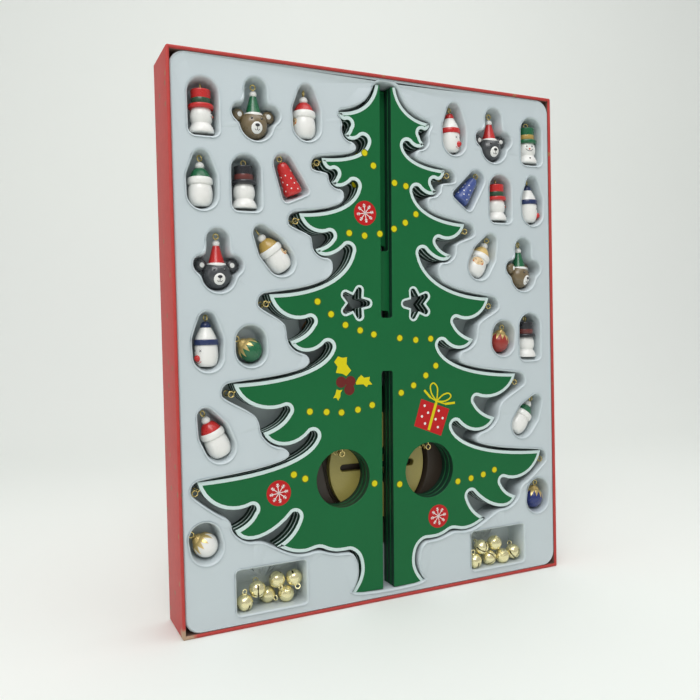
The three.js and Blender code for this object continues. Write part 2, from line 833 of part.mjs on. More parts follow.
function placeOrnament(entry) {
  const { kind, tilt, aside, turn, lean } = entry;
  const { body, height, halfDepth, stand } = kinds[kind];
  const whole = geometryOf(body.add(topEye(height)));
  whole.rotateZ(THREE.MathUtils.degToRad(-turn));
  const pivot = kind === "bauble" ? bauble.radius : 0;
  whole.translate(0, 0, -pivot);
  whole.rotateY(THREE.MathUtils.degToRad(lean));
  whole.translate(aside, 0, pivot + stand);
  whole.rotateY(THREE.MathUtils.degToRad(tilt));
  whole.translate(entry.at[0], atDepth(ornamentFrontDepth + halfDepth), entry.at[1]);
  return named(entry.name, whole, finishes[entry.finish]);
}

// Jingle bells: a thin slit shell with a pellet against its wall and a wire loop

function bellGeometry() {
  const shell = (radius, sides) => {
    const sphere = new THREE.SphereGeometry(radius, sides, sides - 2);
    sphere.rotateX(Math.PI / 2);
    return solid(sphere);
  };
  const slit = (turn) => {
    const cut = new THREE.BoxGeometry(bellSlit, 1.5 * bellRadius, bellRadius);
    cut.translate(0, 0, -bellRadius * 0.85);
    cut.rotateZ(turn);
    return solid(cut);
  };
  const loop = new THREE.TorusGeometry(bellLoopRadius, bellLoopWire, wireSides, ringSides);
  loop.rotateX(Math.PI / 2);
  loop.translate(0, 0, bellRadius + bellLoopRadius - bellLoopWire / 2);
  const pellet = new THREE.OctahedronGeometry(bellPelletRadius);
  pellet.translate(bellRadius - bellWall - bellPelletRadius * 0.7, 0, 0);
  const hollow = shell(bellRadius, 8).subtract(shell(bellRadius - bellWall, 6));
  return geometryOf(hollow.subtract(slit(0)).subtract(slit(Math.PI / 2)).add(solid(loop)).add(solid(pellet)));
}

// Each bell's centre in its bin, measured from the bin's lower left corner and the carton's front rim.
// Its loop points a way across the bin and tips towards the front.
const leftBells = [
  { at: [7, 5.7], depth: 7.5, loop: 88, tip: 0, face: 20 },
  { at: [15.1, 12.1], depth: 8, loop: 80, tip: -50, face: -15 },
  { at: [28.5, 14.7], depth: 10.6, loop: -84, tip: 60, face: 60 },
  { at: [39, 14.6], depth: 9.5, loop: -80, tip: 45, face: 10 },
  { at: [23.3, 5.7], depth: 13.7, loop: -20, tip: 55, face: 20 },
  { at: [33.8, 5.7], depth: 9.9, loop: 96, tip: 60, face: 35 },
];
const rightBells = [
  { at: [12.2, 13.8], depth: 7, loop: 104, tip: -60, face: 30 },
  { at: [5.9, 5.6], depth: 6, loop: 100, tip: 0, face: 0 },
  { at: [23.9, 14.8], depth: 7.7, loop: 105, tip: 40, face: 70 },
  { at: [18.6, 5.6], depth: 7.3, loop: 172, tip: -50, face: 45 },
  { at: [28.9, 5.6], depth: 6, loop: 130, tip: 50, face: 15 },
  { at: [39.1, 6.8], depth: 7.5, loop: 84, tip: -40, face: -60 },
];
const bell = bellGeometry();

function placeBell(name, { at, depth, loop, tip, face }, binCentre) {
  const placed = bell.clone();
  placed.rotateZ(THREE.MathUtils.degToRad(face));
  placed.rotateX(THREE.MathUtils.degToRad(tip));
  placed.rotateY(THREE.MathUtils.degToRad(90 - loop));
  placed.translate(binCentre - binWidth / 2 + at[0], atDepth(depth), binBottom + at[1]);
  return named(name, placed, finishes.brass);
}

// The insert: one thin formed sheet with a cup for everything it holds

const recessFloorDepth = stackBackDepth + seatGap;
const wellFloorDepth = discBackDepth + seatGap;

function insertOutline(inset) {
  const r = insertCornerRadius;
  const x = insertHalfWidth - r;
  const corners = [
    [-x, insertBottom + r, r],
    [x, insertBottom + r, r],
    [x, insertTop - r, r],
    [-x, insertTop - r, r],
  ];
  return wrapCircles(corners, -inset, 2 * cupSides);
}

// A cup as two solids: what it adds behind the plate, and the hollow to cut.
// Its mouth and floor are outlines that can be grown by a distance.
function cup(mouthAt, floorAt, mouthDepth, floorDepth) {
  const outer = loft(
    mouthAt(insertSheet),
    insertPlateDepth + insertSheet / 2,
    floorAt(insertSheet),
    floorDepth + insertSheet,
  );
  const hollow = loft(mouthAt(0), mouthDepth, floorAt(0), floorDepth);
  return { outer: solid(outer), hollow: solid(hollow) };
}

// The tree's recess, right half from the top down: a lobe round each tip and a tongue in each bay.
function recessHalf() {
  const edge = [point([treeTopHalfWidth + 1, treeTop + recessGap])];

  // A place beside a curve, on its left as it runs.
  function beside(curve, share) {
    const along = curve.getTangent(share);
    return curve.getPoint(share).add(new THREE.Vector2(-along.y, along.x).multiplyScalar(recessGap));
  }

  tiers.forEach((tier, i) => {
    const { tip, hook, barb } = tier;
    const sweep = i > 0 ? [0.42, 0.62, 0.8] : [0.25, 0.5, 0.8];
    edge.push(...sweep.map((share) => beside(sweepOf(i), share)));
    if (i > 0) {
      const furthest = insertHalfWidth - lobeMargin - tipLobeRadius;
      const lobe = [Math.min(tip[0] + lobeOffset[0], furthest), tip[1] + lobeOffset[1]];
      edge.push(...arcPoints(lobe, tipLobeRadius, 85, -65, 5));
    } else {
      edge.push(point([tip[0] + recessGap, tip[1] + 1]));
    }
    edge.push(point([mix(hook[0], tip[0], 0.68), hook[1] - 1]));
    edge.push(point([barb[0] + recessGap * 1.3, mix(hook[1], barb[1], 0.45)]));
    edge.push(point([barb[0] + recessGap, barb[1] - 1.4]));
    const belly = i < tiers.length - 1 ? [0.28, 0.55] : [0.28, 0.5];
    edge.push(...belly.map((share) => beside(bellyOf(tier), share)));
  });
  edge.push(point([lowestBarb[0] + recessGap * 1.6, lowestBarb[1] + 0.6]));
  edge.push(...skirtWave.slice(0, 7).map(([x, z]) => point([x + 0.6, z - recessGap * 0.8])));
  edge.push(...skirtWave.slice(7).map(([x, z]) => point([x + recessGap, z - 1.2])));
  edge.push(point([footHalfSpan + recessGap, treeFoot - recessGap * 0.5]));
  return edge;
}

// A place in the tree's own frame carried to the carton's front.
function leanTo(p) {
  const x = p.x;
  const z = p.y - leanPivot[1];
  const cos = Math.cos(treeLean);
  const sin = Math.sin(treeLean);
  return new THREE.Vector2(leanPivot[0] + x * cos + z * sin, leanPivot[1] - x * sin + z * cos);
}

function insertBody() {
  const front = loft(insertOutline(0), insertPlateDepth, insertOutline(0), insertBackDepth);
  const inside = loft(
    insertOutline(insertSheet),
    insertPlateDepth + insertSheet,
    insertOutline(insertSheet),
    insertBackDepth + 1,
  );
  const mouthDepth = insertPlateDepth - 1;
  const half = recessHalf();
  const recess = [...half, ...flip(half)].reverse().map(leanTo);
  const drawnIn = (outlineAt) => (grow) => outlineAt(grow - recessDraft);
  const recessAt = (grow) => offsetOutline(recess, grow);
  const cups = [cup(recessAt, drawnIn(recessAt), mouthDepth, recessFloorDepth)];

  const wellCircles = [
    [...leanTo(point(discCentre)).toArray(), discRadius + 3.5],
    [...leanTo(point(topperCentre)).toArray(), topperRadius + 2],
  ];
  const wellAt = (grow) => wrapCircles(wellCircles, grow, 2 * cupSides);
  cups.push(cup(wellAt, drawnIn(wellAt), recessFloorDepth - 1, wellFloorDepth));

  for (const entry of ornaments) {
    const length = pocketLength(entry.kind);
    const { pocket } = kinds[entry.kind];
    const floors = pocket(length, pocketRamp);
    pocket(length, 0).forEach((mouth, i) => {
      const place = (circles) => circles.map(([x, z, r]) => [...tiltTo([x, z], entry), r]);
      const mouthAt = (grow) => wrapCircles(place(mouth), grow, cupSides);
      const floorAt = (grow) => wrapCircles(place(floors[i]), grow - pocketDraft, cupSides);
      cups.push(cup(mouthAt, floorAt, mouthDepth, pocketFloor(entry.kind)));
    });
  }

  for (const centre of [leftBinCentre, rightBinCentre]) {
    const x = binWidth / 2 - binCornerRadius;
    const z = binHeight - 2 * binCornerRadius;
    const corners = [
      [centre - x, binBottom + binCornerRadius, binCornerRadius],
      [centre + x, binBottom + binCornerRadius, binCornerRadius],
      [centre + x, binBottom + binCornerRadius + z, binCornerRadius],
      [centre - x, binBottom + binCornerRadius + z, binCornerRadius],
    ];
    const binAt = (grow) => wrapCircles(corners, grow, cupSides);
    cups.push(cup(binAt, drawnIn(binAt), mouthDepth, binFloorDepth));
  }

  const sheet = join(solid(front).subtract(solid(inside)), ...cups.map(({ outer }) => outer));
  return cups.reduce((body, { hollow }) => body.subtract(hollow), sheet);
}

// The carton: a shallow tray of folded card, open at the front

function cartonBody() {
  const box = new THREE.BoxGeometry(cartonWidth, cartonDepth, cartonHeight);
  box.translate(0, 0, cartonHeight / 2);
  const roomWidth = cartonWidth - 2 * cartonWall;
  const room = new THREE.BoxGeometry(roomWidth, cartonDepth, cartonHeight - 2 * cartonWall);
  room.translate(0, -cartonWall, cartonHeight / 2);
  return solid(box).subtract(solid(room));
}

const set = new THREE.Group();
set.add(named("carton", geometryOf(cartonBody()), finishes.card));
set.add(named("blister_insert", geometryOf(insertBody()), finishes.plastic));
set.add(tree);
for (const entry of ornaments) {
  set.add(placeOrnament(entry));
}
leftBells.forEach((entry, i) => set.add(placeBell(`jingle_bell_left_${i + 1}`, entry, leftBinCentre)));
rightBells.forEach((entry, i) => set.add(placeBell(`jingle_bell_right_${i + 1}`, entry, rightBinCentre)));

export default set;
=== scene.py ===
"""Looks of the boxed wooden Christmas tree set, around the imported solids.

Pieces are drawn in millimetres, with x to the right, z up and a depth behind the carton's front rim,
and turned into metres in the row's frame when their meshes are made.
"""

import json
import math
import random

import bmesh
import bpy
import numpy as np
from mathutils import Matrix, Vector
from mathutils.geometry import delaunay_2d_cdt


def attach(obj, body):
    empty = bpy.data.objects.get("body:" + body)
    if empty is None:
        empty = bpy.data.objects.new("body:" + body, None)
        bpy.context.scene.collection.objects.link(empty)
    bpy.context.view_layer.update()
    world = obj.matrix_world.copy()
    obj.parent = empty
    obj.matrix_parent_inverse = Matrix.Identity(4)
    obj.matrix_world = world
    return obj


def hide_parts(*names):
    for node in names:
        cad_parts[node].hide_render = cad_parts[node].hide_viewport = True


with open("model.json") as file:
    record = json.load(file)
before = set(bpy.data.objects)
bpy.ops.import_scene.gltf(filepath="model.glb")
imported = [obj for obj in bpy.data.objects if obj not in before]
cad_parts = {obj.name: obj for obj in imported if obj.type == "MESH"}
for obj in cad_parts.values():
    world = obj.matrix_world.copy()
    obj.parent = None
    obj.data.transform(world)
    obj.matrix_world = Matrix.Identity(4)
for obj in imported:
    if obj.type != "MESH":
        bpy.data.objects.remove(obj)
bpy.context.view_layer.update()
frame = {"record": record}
TAU = 2 * math.pi

# Sizes shared with the solids, in millimetres
CARTON_WIDTH = 266.5
CARTON_HEIGHT = 330
CARTON_DEPTH = 35.2
CARTON_WALL = 2
SEAT_GAP = 0.3
INSERT_HALF_WIDTH = 130.85
INSERT_BOTTOM = 2.4
INSERT_TOP = 327.6
INSERT_CORNER = 9
INSERT_SHEET = 0.8
INSERT_BACK_DEPTH = 32.9
PLATE_DEPTH = 1.5
PANEL_THICKNESS = 4.2
PANEL_PITCH = 4.8
PANEL_FRONT_DEPTH = 2.5
RECESS_FLOOR_DEPTH = 16.6
DISC_FRONT_DEPTH = 16.7
DISC_THICKNESS = 4.5
WELL_FLOOR_DEPTH = 21.5
TREE_TOP = 324
TREE_TOP_HALF = 7
TREE_FOOT = 6.7
FOOT_HALF_SPAN = 26.6
HOOK_RADIUS = 2.6
BAY_RADIUS = 3.3
SLOT_HALF = 3.936
SLOT_CORNER = 1.6
TIERS = [
    ((32.5, 304), (26.4, 297.4), (28.2, 290.6), (15.6, 288.2)),
    ((43.8, 275), (35.6, 266.5), (37.2, 261), (22.4, 260)),
    ((58.8, 240.8), (38.8, 228.4), (48.4, 219.8), (26.6, 220.4)),
    ((78.1, 192.2), (52.1, 176.4), (65.2, 164.4), (40.8, 160.8)),
    ((100.3, 140.3), (68, 123.6), (82.6, 110.9), (51.2, 107.1)),
    ((122, 85.5), (89.7, 66.7), (100.3, 55.4), (63.3, 59.2)),
]
LOWEST_BARB = (74.8, 43)
SKIRT_WAVE = [
    (66, 38.7), (57, 37.2), (48, 38.7), (42, 36.4), (36.8, 34.9),
    (31.5, 34.6), (26, 34.4), (21, 30), (19.2, 22), (21, 14.5),
]
LEAN = math.radians(0.9)
LEAN_PIVOT = (1.1, 165)
ROUND_HOLE = (31, 79.4, 18)
STAR_HOLE = (21.9, 187.6, 10.3, 5.1, 1.9)
DISC = (0, 83, 34.4)
TOPPER = (-37, 181, 16.5, 8.4, 1.8)
RECESS_GAP = 2.6
LOBE_RADIUS = 6.5
LOBE_OFFSET = (1.6, -4.9)
TREE_EYE = (1.65, 0.38, 1.5)
ORNAMENT_EYE = (1.5, 0.42)

# Places in the materials, in metres: the circle of painted shade behind the disc, and the carton's rubbed
# corner
PAINTED_SHADE_CENTRE = (-0.0002, 0.0, 0.083)
PAINTED_SHADE_RADIUS = 0.052
PAINTED_SHADE_EDGE = 0.001
RUBBED_CORNER = (-0.1333, -0.0176, 0.0)


def mix(a, b, share):
    return a + (b - a) * share


# Camera, at the photograph's viewing angle: lens, then turns and place solved from the carton's corners
FOCAL_PIXELS = 734.5
PHOTO_PIXELS = 700
SENSOR = 36
PITCH = math.radians(1.614)
ROLL = math.radians(-1.294)
YAW = math.radians(25.324)
CAMERA_PLACE = (-0.21893, -0.42486, 0.1718)


def make_camera():
    lens = bpy.data.cameras.new("camera")
    lens.sensor_width = SENSOR
    lens.lens = FOCAL_PIXELS / PHOTO_PIXELS * SENSOR
    lens.clip_start = 0.01
    camera = bpy.data.objects.new("camera", lens)
    bpy.context.scene.collection.objects.link(camera)
    level = Matrix(((1, 0, 0), (0, 0, -1), (0, 1, 0)))
    tilt = Matrix.Rotation(ROLL, 3, "Z") @ Matrix.Rotation(PITCH, 3, "X")
    turn = tilt @ level @ Matrix.Rotation(YAW, 3, "Z")
    camera.matrix_world = (turn.transposed() @ Matrix.Diagonal((1, -1, -1))).to_4x4()
    camera.location = CAMERA_PLACE
    bpy.context.scene.camera = camera


make_camera()
bpy.context.scene.view_settings.view_transform = "Standard"


# Shader building blocks


class Shader:
    """A material whose nodes are added one by one."""

    def __init__(self, name):
        self.material = bpy.data.materials.new(name)
        self.material.use_nodes = True
        self.tree = self.material.node_tree
        self.main = self.tree.nodes["Principled BSDF"]

    def node(self, kind, inputs=None, **settings):
        made = self.tree.nodes.new(kind)
        for key, value in settings.items():
            setattr(made, key, value)
        for key, value in (inputs or {}).items():
            self.feed(made, key, value)
        return made

    def feed(self, made, key, value):
        socket = made.inputs[key]
        if isinstance(value, bpy.types.NodeSocket):
            self.tree.links.new(value, socket)
        else:
            socket.default_value = value

    def set(self, **inputs):
        for key, value in inputs.items():
            self.feed(self.main, key.replace("_", " "), value)

    def math(self, operation, *values):
        return self.node("ShaderNodeMath", dict(enumerate(values)), operation=operation).outputs[0]

    def vector_math(self, operation, *values):
        return self.node("ShaderNodeVectorMath", dict(enumerate(values)), operation=operation).outputs

    def ramp(self, value, low, high, start, end):
        """A value that runs from start to end while another runs from low to high."""
        inputs = {"Value": value, 1: low, 2: high, 3: start, 4: end}
        return self.node("ShaderNodeMapRange", inputs).outputs[0]

    def blend(self, share, under, over, way="MIX"):
        """A mix of two colours."""
        inputs = {"Factor": share, 6: under, 7: over}
        return self.node("ShaderNodeMix", inputs, data_type="RGBA", blend_type=way).outputs[2]


def rgba(colour):
    """A colour given as it looks, 0 to 255, as linear light."""
    linear = [((c / 255) / 12.92) if c <= 10 else (((c / 255) + 0.055) / 1.055) ** 2.4 for c in colour]
    return (*linear, 1)


class Group(Shader):
    """A shader node group with named inputs and outputs."""

    def __init__(self, name, inputs, outputs):
        self.tree = bpy.data.node_groups.new(name, "ShaderNodeTree")
        for key, kind, value in inputs:
            socket = self.tree.interface.new_socket(key, in_out="INPUT", socket_type="NodeSocket" + kind)
            socket.default_value = value
        for key, kind in outputs:
            self.tree.interface.new_socket(key, in_out="OUTPUT", socket_type="NodeSocket" + kind)
        self.start = self.tree.nodes.new("NodeGroupInput").outputs
        self.end = self.tree.nodes.new("NodeGroupOutput")

    def noise(self, scale, detail=3.0, roughness=0.5):
        place = self.node("ShaderNodeTexCoord").outputs["Object"]
        return self.node(
            "ShaderNodeTexNoise",
            {"Vector": place, "Scale": scale, "Detail": detail, "Roughness": roughness},
        ).outputs["Fac"]


def make_finish_group():
    """Brushed or moulded finish: slow colour drift, fine mottle, uneven gloss and a fine bump."""
    group = Group(
        "finish",
        [
            ("Colour", "Color", (0.5, 0.5, 0.5, 1)),
            ("Drift", "Float", 0.06),
            ("Drift scale", "Float", 40.0),
            ("Mottle", "Float", 0.05),
            ("Mottle scale", "Float", 600.0),
            ("Gloss", "Float", 0.3),
            ("Gloss spread", "Float", 0.08),
            ("Bump", "Float", 0.1),
            ("Bump scale", "Float", 900.0),
        ],
        [("Colour", "Color"), ("Roughness", "Float"), ("Normal", "Vector")],
    )
    values = group.start
    slow = group.math("SUBTRACT", group.noise(values["Drift scale"]), 0.5)
    drift = group.math("MULTIPLY", slow, values["Drift"])
    fine = group.math("SUBTRACT", group.noise(values["Mottle scale"], 4.0, 0.6), 0.5)
    mottle = group.math("MULTIPLY", fine, values["Mottle"])
    level = group.math("ADD", group.math("ADD", 1.0, group.math("MULTIPLY", drift, 2.0)), mottle)
    grey = group.node("ShaderNodeCombineColor", {0: level, 1: level, 2: level}).outputs[0]
    shaded = group.blend(1.0, values["Colour"], grey, "MULTIPLY")
    uneven = group.math("SUBTRACT", group.noise(values["Drift scale"], 5.0), 0.5)
    spread = group.math("MULTIPLY", uneven, values["Gloss spread"])
    bump = group.node(
        "ShaderNodeBump",
        {"Strength": values["Bump"], "Distance": 0.0002, "Height": group.noise(values["Bump scale"], 2.0)},
    )
    group.feed(group.end, "Colour", shaded)
    group.feed(group.end, "Roughness", group.math("ADD", values["Gloss"], spread))
    group.feed(group.end, "Normal", bump.outputs[0])
    return group.tree


FINISH = make_finish_group()


def finished(shader, colour, **values):
    """Puts the finish group into a shader and wires it up. Values name the group's inputs."""
    made = shader.node("ShaderNodeGroup", node_tree=FINISH)
    shader.feed(made, "Colour", colour)
    for key, value in values.items():
        shader.feed(made, key.replace("_", " "), value)
    results = made.outputs
    shader.set(Base_Color=results["Colour"], Roughness=results["Roughness"], Normal=results["Normal"])


def paint(name, colour, gloss=0.28, coat=0.35, specular=0.5, **values):
    shader = Shader(name)
    finished(shader, rgba(colour), Gloss=gloss, **values)
    shader.set(Coat_Weight=coat, Coat_Roughness=0.12, Specular_IOR_Level=specular)
    return shader.material


def metal(name, colour, gloss=0.22, metallic=1.0, **values):
    shader = Shader(name)
    finished(shader, rgba(colour), Gloss=gloss, **values)
    shader.set(Metallic=metallic)
    return shader.material


def card_material(name, colour, dotted=True):
    """Printed card: paper fibre, sparse small printed dots, and a rubbed corner low on the left."""
    shader = Shader(name)
    place = shader.node("ShaderNodeTexCoord").outputs["Object"]
    fibre = shader.node(
        "ShaderNodeTexNoise", {"Vector": place, "Scale": 260.0, "Detail": 5.0, "Roughness": 0.65}
    ).outputs["Fac"]
    pale = rgba([min(255, c + 22) for c in colour])
    result = shader.blend(shader.ramp(fibre, 0.35, 0.75, 0.0, 0.4), rgba(colour), pale)
    if dotted:
        parts = shader.node("ShaderNodeSeparateXYZ", {0: place}).outputs
        round_side = shader.math("ADD", parts["X"], parts["Y"])
        sheet = shader.node("ShaderNodeCombineXYZ", {"X": round_side, "Y": parts["Z"]}).outputs[0]
        settings = {"Vector": sheet, "Scale": 70.0, "Randomness": 1.0}
        cells = shader.node("ShaderNodeTexVoronoi", settings, voronoi_dimensions="2D").outputs
        pick = shader.node("ShaderNodeSeparateColor", {0: cells["Color"]}).outputs
        near = shader.ramp(cells["Distance"], 0.05, 0.14, 0.6, 0.0)
        mask = shader.math("MULTIPLY", near, shader.math("GREATER_THAN", pick[0], 0.62))
        kind = shader.math("GREATER_THAN", pick[1], 0.5)
        result = shader.blend(mask, result, shader.blend(kind, rgba((150, 128, 78)), rgba((98, 118, 74))))
        corner = shader.vector_math("DISTANCE", place, RUBBED_CORNER)["Value"]
        ragged = shader.math("ADD", corner, shader.math("MULTIPLY", fibre, 0.008))
        worn = shader.ramp(ragged, 0.0085, 0.0115, 0.85, 0.0)
        result = shader.blend(worn, result, rgba((178, 158, 128)))
    bump = shader.node("ShaderNodeBump", {"Strength": 0.18, "Distance": 0.0002, "Height": fibre})
    shader.set(Base_Color=result, Roughness=0.55, Normal=bump.outputs[0])
    return shader.material


def recess_with_painted_shade(name, colour, shade):
    """The insert's plastic, with painted shade, dark brown, in a circle behind the base disc."""
    shader = Shader(name)
    place = shader.node("ShaderNodeTexCoord").outputs["Object"]
    across = shader.vector_math("MULTIPLY", place, (1.0, 0.0, 1.0))["Vector"]
    away = shader.vector_math("DISTANCE", across, PAINTED_SHADE_CENTRE)["Value"]
    # Painted shade: dark brown within a circle round the base disc, blurred at its edge
    dark = shader.ramp(away, PAINTED_SHADE_RADIUS - PAINTED_SHADE_EDGE, PAINTED_SHADE_RADIUS + PAINTED_SHADE_EDGE, 1.0, 0.0)
    mixed = shader.blend(dark, rgba(colour), rgba(shade))
    finished(shader, mixed, Gloss=0.4, Drift=0.03, Drift_scale=30.0, Mottle=0.03)
    return shader.material


def printed(name, colour, coat=0.0, specular=0.25):
    """The flat printing on the boards."""
    return paint(name, colour, gloss=0.45, coat=coat, specular=specular)


def lacquer(name, colour, drift=0.05, **values):
    """The brushed paint of the ornaments."""
    return paint(name, colour, Drift=drift, Drift_scale=160.0, **values)


CARD = card_material("card_red", (178, 50, 44))
CARD_INSIDE = card_material("card_inside", (120, 92, 80), dotted=False)
PLASTIC = paint(
    "insert_plastic", (198, 208, 211), gloss=0.36, coat=0.15,
    Drift=0.02, Drift_scale=14.0, Mottle=0.012, Bump=0.06, Bump_scale=160.0,
)
# The recess: the plate's plastic drawn a little darker, as painted shade, with the circle of painted shade
# behind the disc
RECESS = recess_with_painted_shade("insert_recess_painted_shade", (186, 198, 198), (62, 52, 42))
GREEN_FACE = paint(
    "tree_green", (14, 100, 53), gloss=0.5, coat=0.0, specular=0.25,
    Drift=0.07, Drift_scale=26.0, Mottle=0.12, Mottle_scale=700.0, Bump=0.08,
)
GREEN_EDGE = paint(
    "tree_edge", (22, 58, 42), gloss=0.5, coat=0.0, specular=0.3,
    Drift=0.2, Drift_scale=90.0, Mottle=0.25, Bump=0.3,
)
BORDER = printed("border_white", (206, 224, 220), coat=0.05, specular=0.5)
YELLOW = printed("print_yellow", (216, 202, 12))
OLIVE = printed("print_olive", (90, 110, 28), specular=0.2)
PRINT_RED = printed("print_red", (188, 26, 28))
BERRY = printed("print_berry", (106, 34, 30))
PRINT_WHITE = printed("print_white", (236, 230, 226), coat=0.05, specular=0.5)
GOLD_BOARD = paint(
    "disc_gold", (176, 163, 88), gloss=0.34, coat=0.1,
    Drift=0.06, Drift_scale=60.0, Mottle=0.22, Mottle_scale=1800.0,
)
TOPPER_PAINT = paint("topper_orange", (168, 112, 38), gloss=0.4, coat=0.15, Mottle=0.12)
BRASS = metal("brass_wire", (222, 200, 132), gloss=0.2, Drift=0.08, Drift_scale=220.0, Bump=0.08)
BELL_BRASS = metal(
    "bell_brass", (244, 234, 184), gloss=0.24, metallic=0.75,
    Drift=0.06, Drift_scale=160.0, Bump=0.06, Bump_scale=500.0,
)
BELL_DARK = metal("bell_inside", (96, 80, 44), gloss=0.5)
WHITE = paint("white_paint", (236, 235, 230), Drift=0.02, Drift_scale=120.0, Mottle=0.02)
RED = lacquer("red_paint", (196, 36, 34))
DEEP_RED = lacquer("deep_red_paint", (154, 48, 38), 0.06, gloss=0.3, coat=0.2)
GREEN = lacquer("green_paint", (20, 100, 60))
BAND_GREEN = lacquer("band_green", (44, 78, 52))
BLACK = lacquer("black_paint", (34, 34, 38), 0.06)
BLUE = lacquer("blue_paint", (32, 48, 92))
BELL_BLUE = lacquer("bell_blue", (66, 84, 146))
NIGHT_BLUE = lacquer("night_blue", (34, 48, 112))
BROWN = lacquer("brown_paint", (118, 102, 74), 0.06)
CHARCOAL = lacquer("charcoal_paint", (66, 68, 70), 0.06)
PEACH = paint("peach_paint", (226, 196, 150), Drift=0.02)
CREAM = lacquer("cream_paint", (220, 188, 116), 0.04)
GOLD_PAINT = paint("gold_paint", (184, 152, 76), gloss=0.3, coat=0.3, Drift=0.1, Drift_scale=260.0)
PALE_GOLD = metal(
    "pale_gold", (226, 198, 132), gloss=0.3, metallic=0.7, Drift=0.08, Drift_scale=220.0, Bump=0.12
)
BAND_RED = lacquer("band_red", (106, 50, 44))
NOSE_ORANGE = paint("nose_orange", (214, 92, 52))


# Meshes


def metres(x, depth, z):
    return (x / 1000, (depth - CARTON_DEPTH / 2) / 1000, z / 1000)


def make_plain(made):
    """Keeps the mesh that an object's modifiers make of it, and takes them away."""
    shown = made.evaluated_get(bpy.context.evaluated_depsgraph_get())
    plain = bpy.data.meshes.new_from_object(shown)
    made.modifiers.clear()
    made.data = plain


def thicken(made, thickness):
    """Welds an open sheet and gives it a back, behind the faces that are drawn."""
    welded = bmesh.new()
    welded.from_mesh(made.data)
    bmesh.ops.remove_doubles(welded, verts=welded.verts, dist=2e-6)
    welded.to_mesh(made.data)
    welded.free()
    modifier = made.modifiers.new("sheet", "SOLIDIFY")
    modifier.thickness = thickness
    modifier.offset = -1
    make_plain(made)


class Piece:
    """A mesh gathered in millimetres, with a material for each face."""

    def __init__(self, name):
        self.name = name
        self.corners = []
        self.faces = []
        self.materials = []
        self.face_materials = []

    def add(self, corners, faces, material, matrix=None):
        start = len(self.corners)
        if material not in self.materials:
            self.materials.append(material)
        slot = self.materials.index(material)
        if matrix is not None:
            corners = [matrix @ Vector(c) for c in corners]
        self.corners.extend(tuple(c) for c in corners)
        self.faces.extend(tuple(start + i for i in face) for face in faces)
        self.face_materials.extend([slot] * len(faces))

    def cap(self, row, material, matrix=None, turn=1):
        """One face across a row, which a turn of -1 faces the other way."""
        self.add(row, [tuple(range(len(row)))[::turn]], material, matrix)

    def grid(self, rows, material, matrix=None, wrap=True):
        """Faces between rows of equal length; a row is one step further round outside than the one before."""
        count = len(rows[0])
        corners = [c for row in rows for c in row]
        faces = []
        for j in range(len(rows) - 1):
            for i in range(count if wrap else count - 1):
                k = (i + 1) % count
                faces.append((j * count + i, j * count + k, (j + 1) * count + k, (j + 1) * count + i))
        self.add(corners, faces, material, matrix)

    def finish(self, body, replaced, slot, smooth_below, sheet=0):
        """Makes the object, which rides on a body and stands for the solids it replaces."""
        mesh = bpy.data.meshes.new(self.name)
        corners = np.array(self.corners, float)
        corners[:, 1] -= CARTON_DEPTH / 2
        mesh.from_pydata((corners / 1000).tolist(), [], self.faces)
        for material in self.materials:
            mesh.materials.append(material)
        mesh.polygons.foreach_set("material_index", self.face_materials)
        mesh.validate()
        made = bpy.data.objects.new(self.name, mesh)
        bpy.context.scene.collection.objects.link(made)
        if sheet:
            thicken(made, sheet / 1000)
        made.data.shade_smooth()
        if smooth_below < 180:
            made.data.set_sharp_from_angle(angle=math.radians(smooth_below))
        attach(made, body)
        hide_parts(*replaced)


# Outlines: lists of (x, z), anticlockwise as seen from the front


def on_circle(centre, radius, degrees):
    angle = math.radians(degrees)
    return (centre[0] + radius * math.cos(angle), centre[1] + radius * math.sin(angle))


def on_cubic(controls, t):
    """A point of a cubic curve, and the direction in which the curve runs there."""
    a, b, c, d = (np.array(p, float) for p in controls)
    s = 1 - t
    at = a * s**3 + 3 * b * s * s * t + 3 * c * s * t * t + d * t**3
    along = 3 * (b - a) * s * s + 6 * (c - b) * s * t + 3 * (d - c) * t * t
    return at, along


def cubic(controls, steps):
    return [tuple(on_cubic(controls, i / steps)[0]) for i in range(steps)]


def arc(centre, radius, start, end, steps):
    return [on_circle(centre, radius, mix(start, end, i / steps)) for i in range(steps)]


def hollow(start, barb, steps=7):
    bend = (mix(start[0], barb[0], 0.25), mix(start[1], barb[1], 0.7))
    points = []
    for i in range(steps):
        t = i / steps
        s = 1 - t
        points.append(tuple(s * s * p + 2 * s * t * q + t * t * r for p, q, r in zip(start, bend, barb)))
    return points


def sweep_of(tier):
    start = on_circle(TIERS[tier - 1][3], BAY_RADIUS, 205) if tier else (TREE_TOP_HALF, TREE_TOP)
    tip = TIERS[tier][0]
    return [
        start,
        (mix(start[0], tip[0], 0.07), mix(start[1], tip[1], 0.6)),
        (mix(start[0], tip[0], 0.45), mix(start[1], tip[1], 0.98)),
        tip,
    ]


def under_of(tier):
    tip, hook = TIERS[tier][:2]
    top = on_circle(hook, HOOK_RADIUS, 75)
    return [
        tip,
        (mix(tip[0], top[0], 0.12), mix(tip[1], top[1], 0.95)),
        (mix(top[0], tip[0], 0.36), mix(top[1], tip[1], -0.3)),
        top,
    ]


def belly_of(tier):
    barb, bay = TIERS[tier][2:]
    top = on_circle(bay, BAY_RADIUS, 60)
    span = barb[0] - top[0]
    return [
        barb,
        (barb[0] - 0.12 * span, barb[1] - 0.32 * span),
        (top[0] + 0.34 * span, top[1] - 0.38 * span),
        top,
    ]


def rounded_through(points, steps=4):
    """A smooth line through points, without its last one."""
    line = []
    padded = np.array([points[0], *points, points[-1]], float)
    for p, q, r, s in zip(padded, padded[1:], padded[2:], padded[3:]):
        square_part = 2 * p - 5 * q + 4 * r - s
        cube_part = 3 * q - p - 3 * r + s
        for t in (i / steps for i in range(steps)):
            line.append(tuple(0.5 * (2 * q + (r - p) * t + square_part * t * t + cube_part * t**3)))
    return line


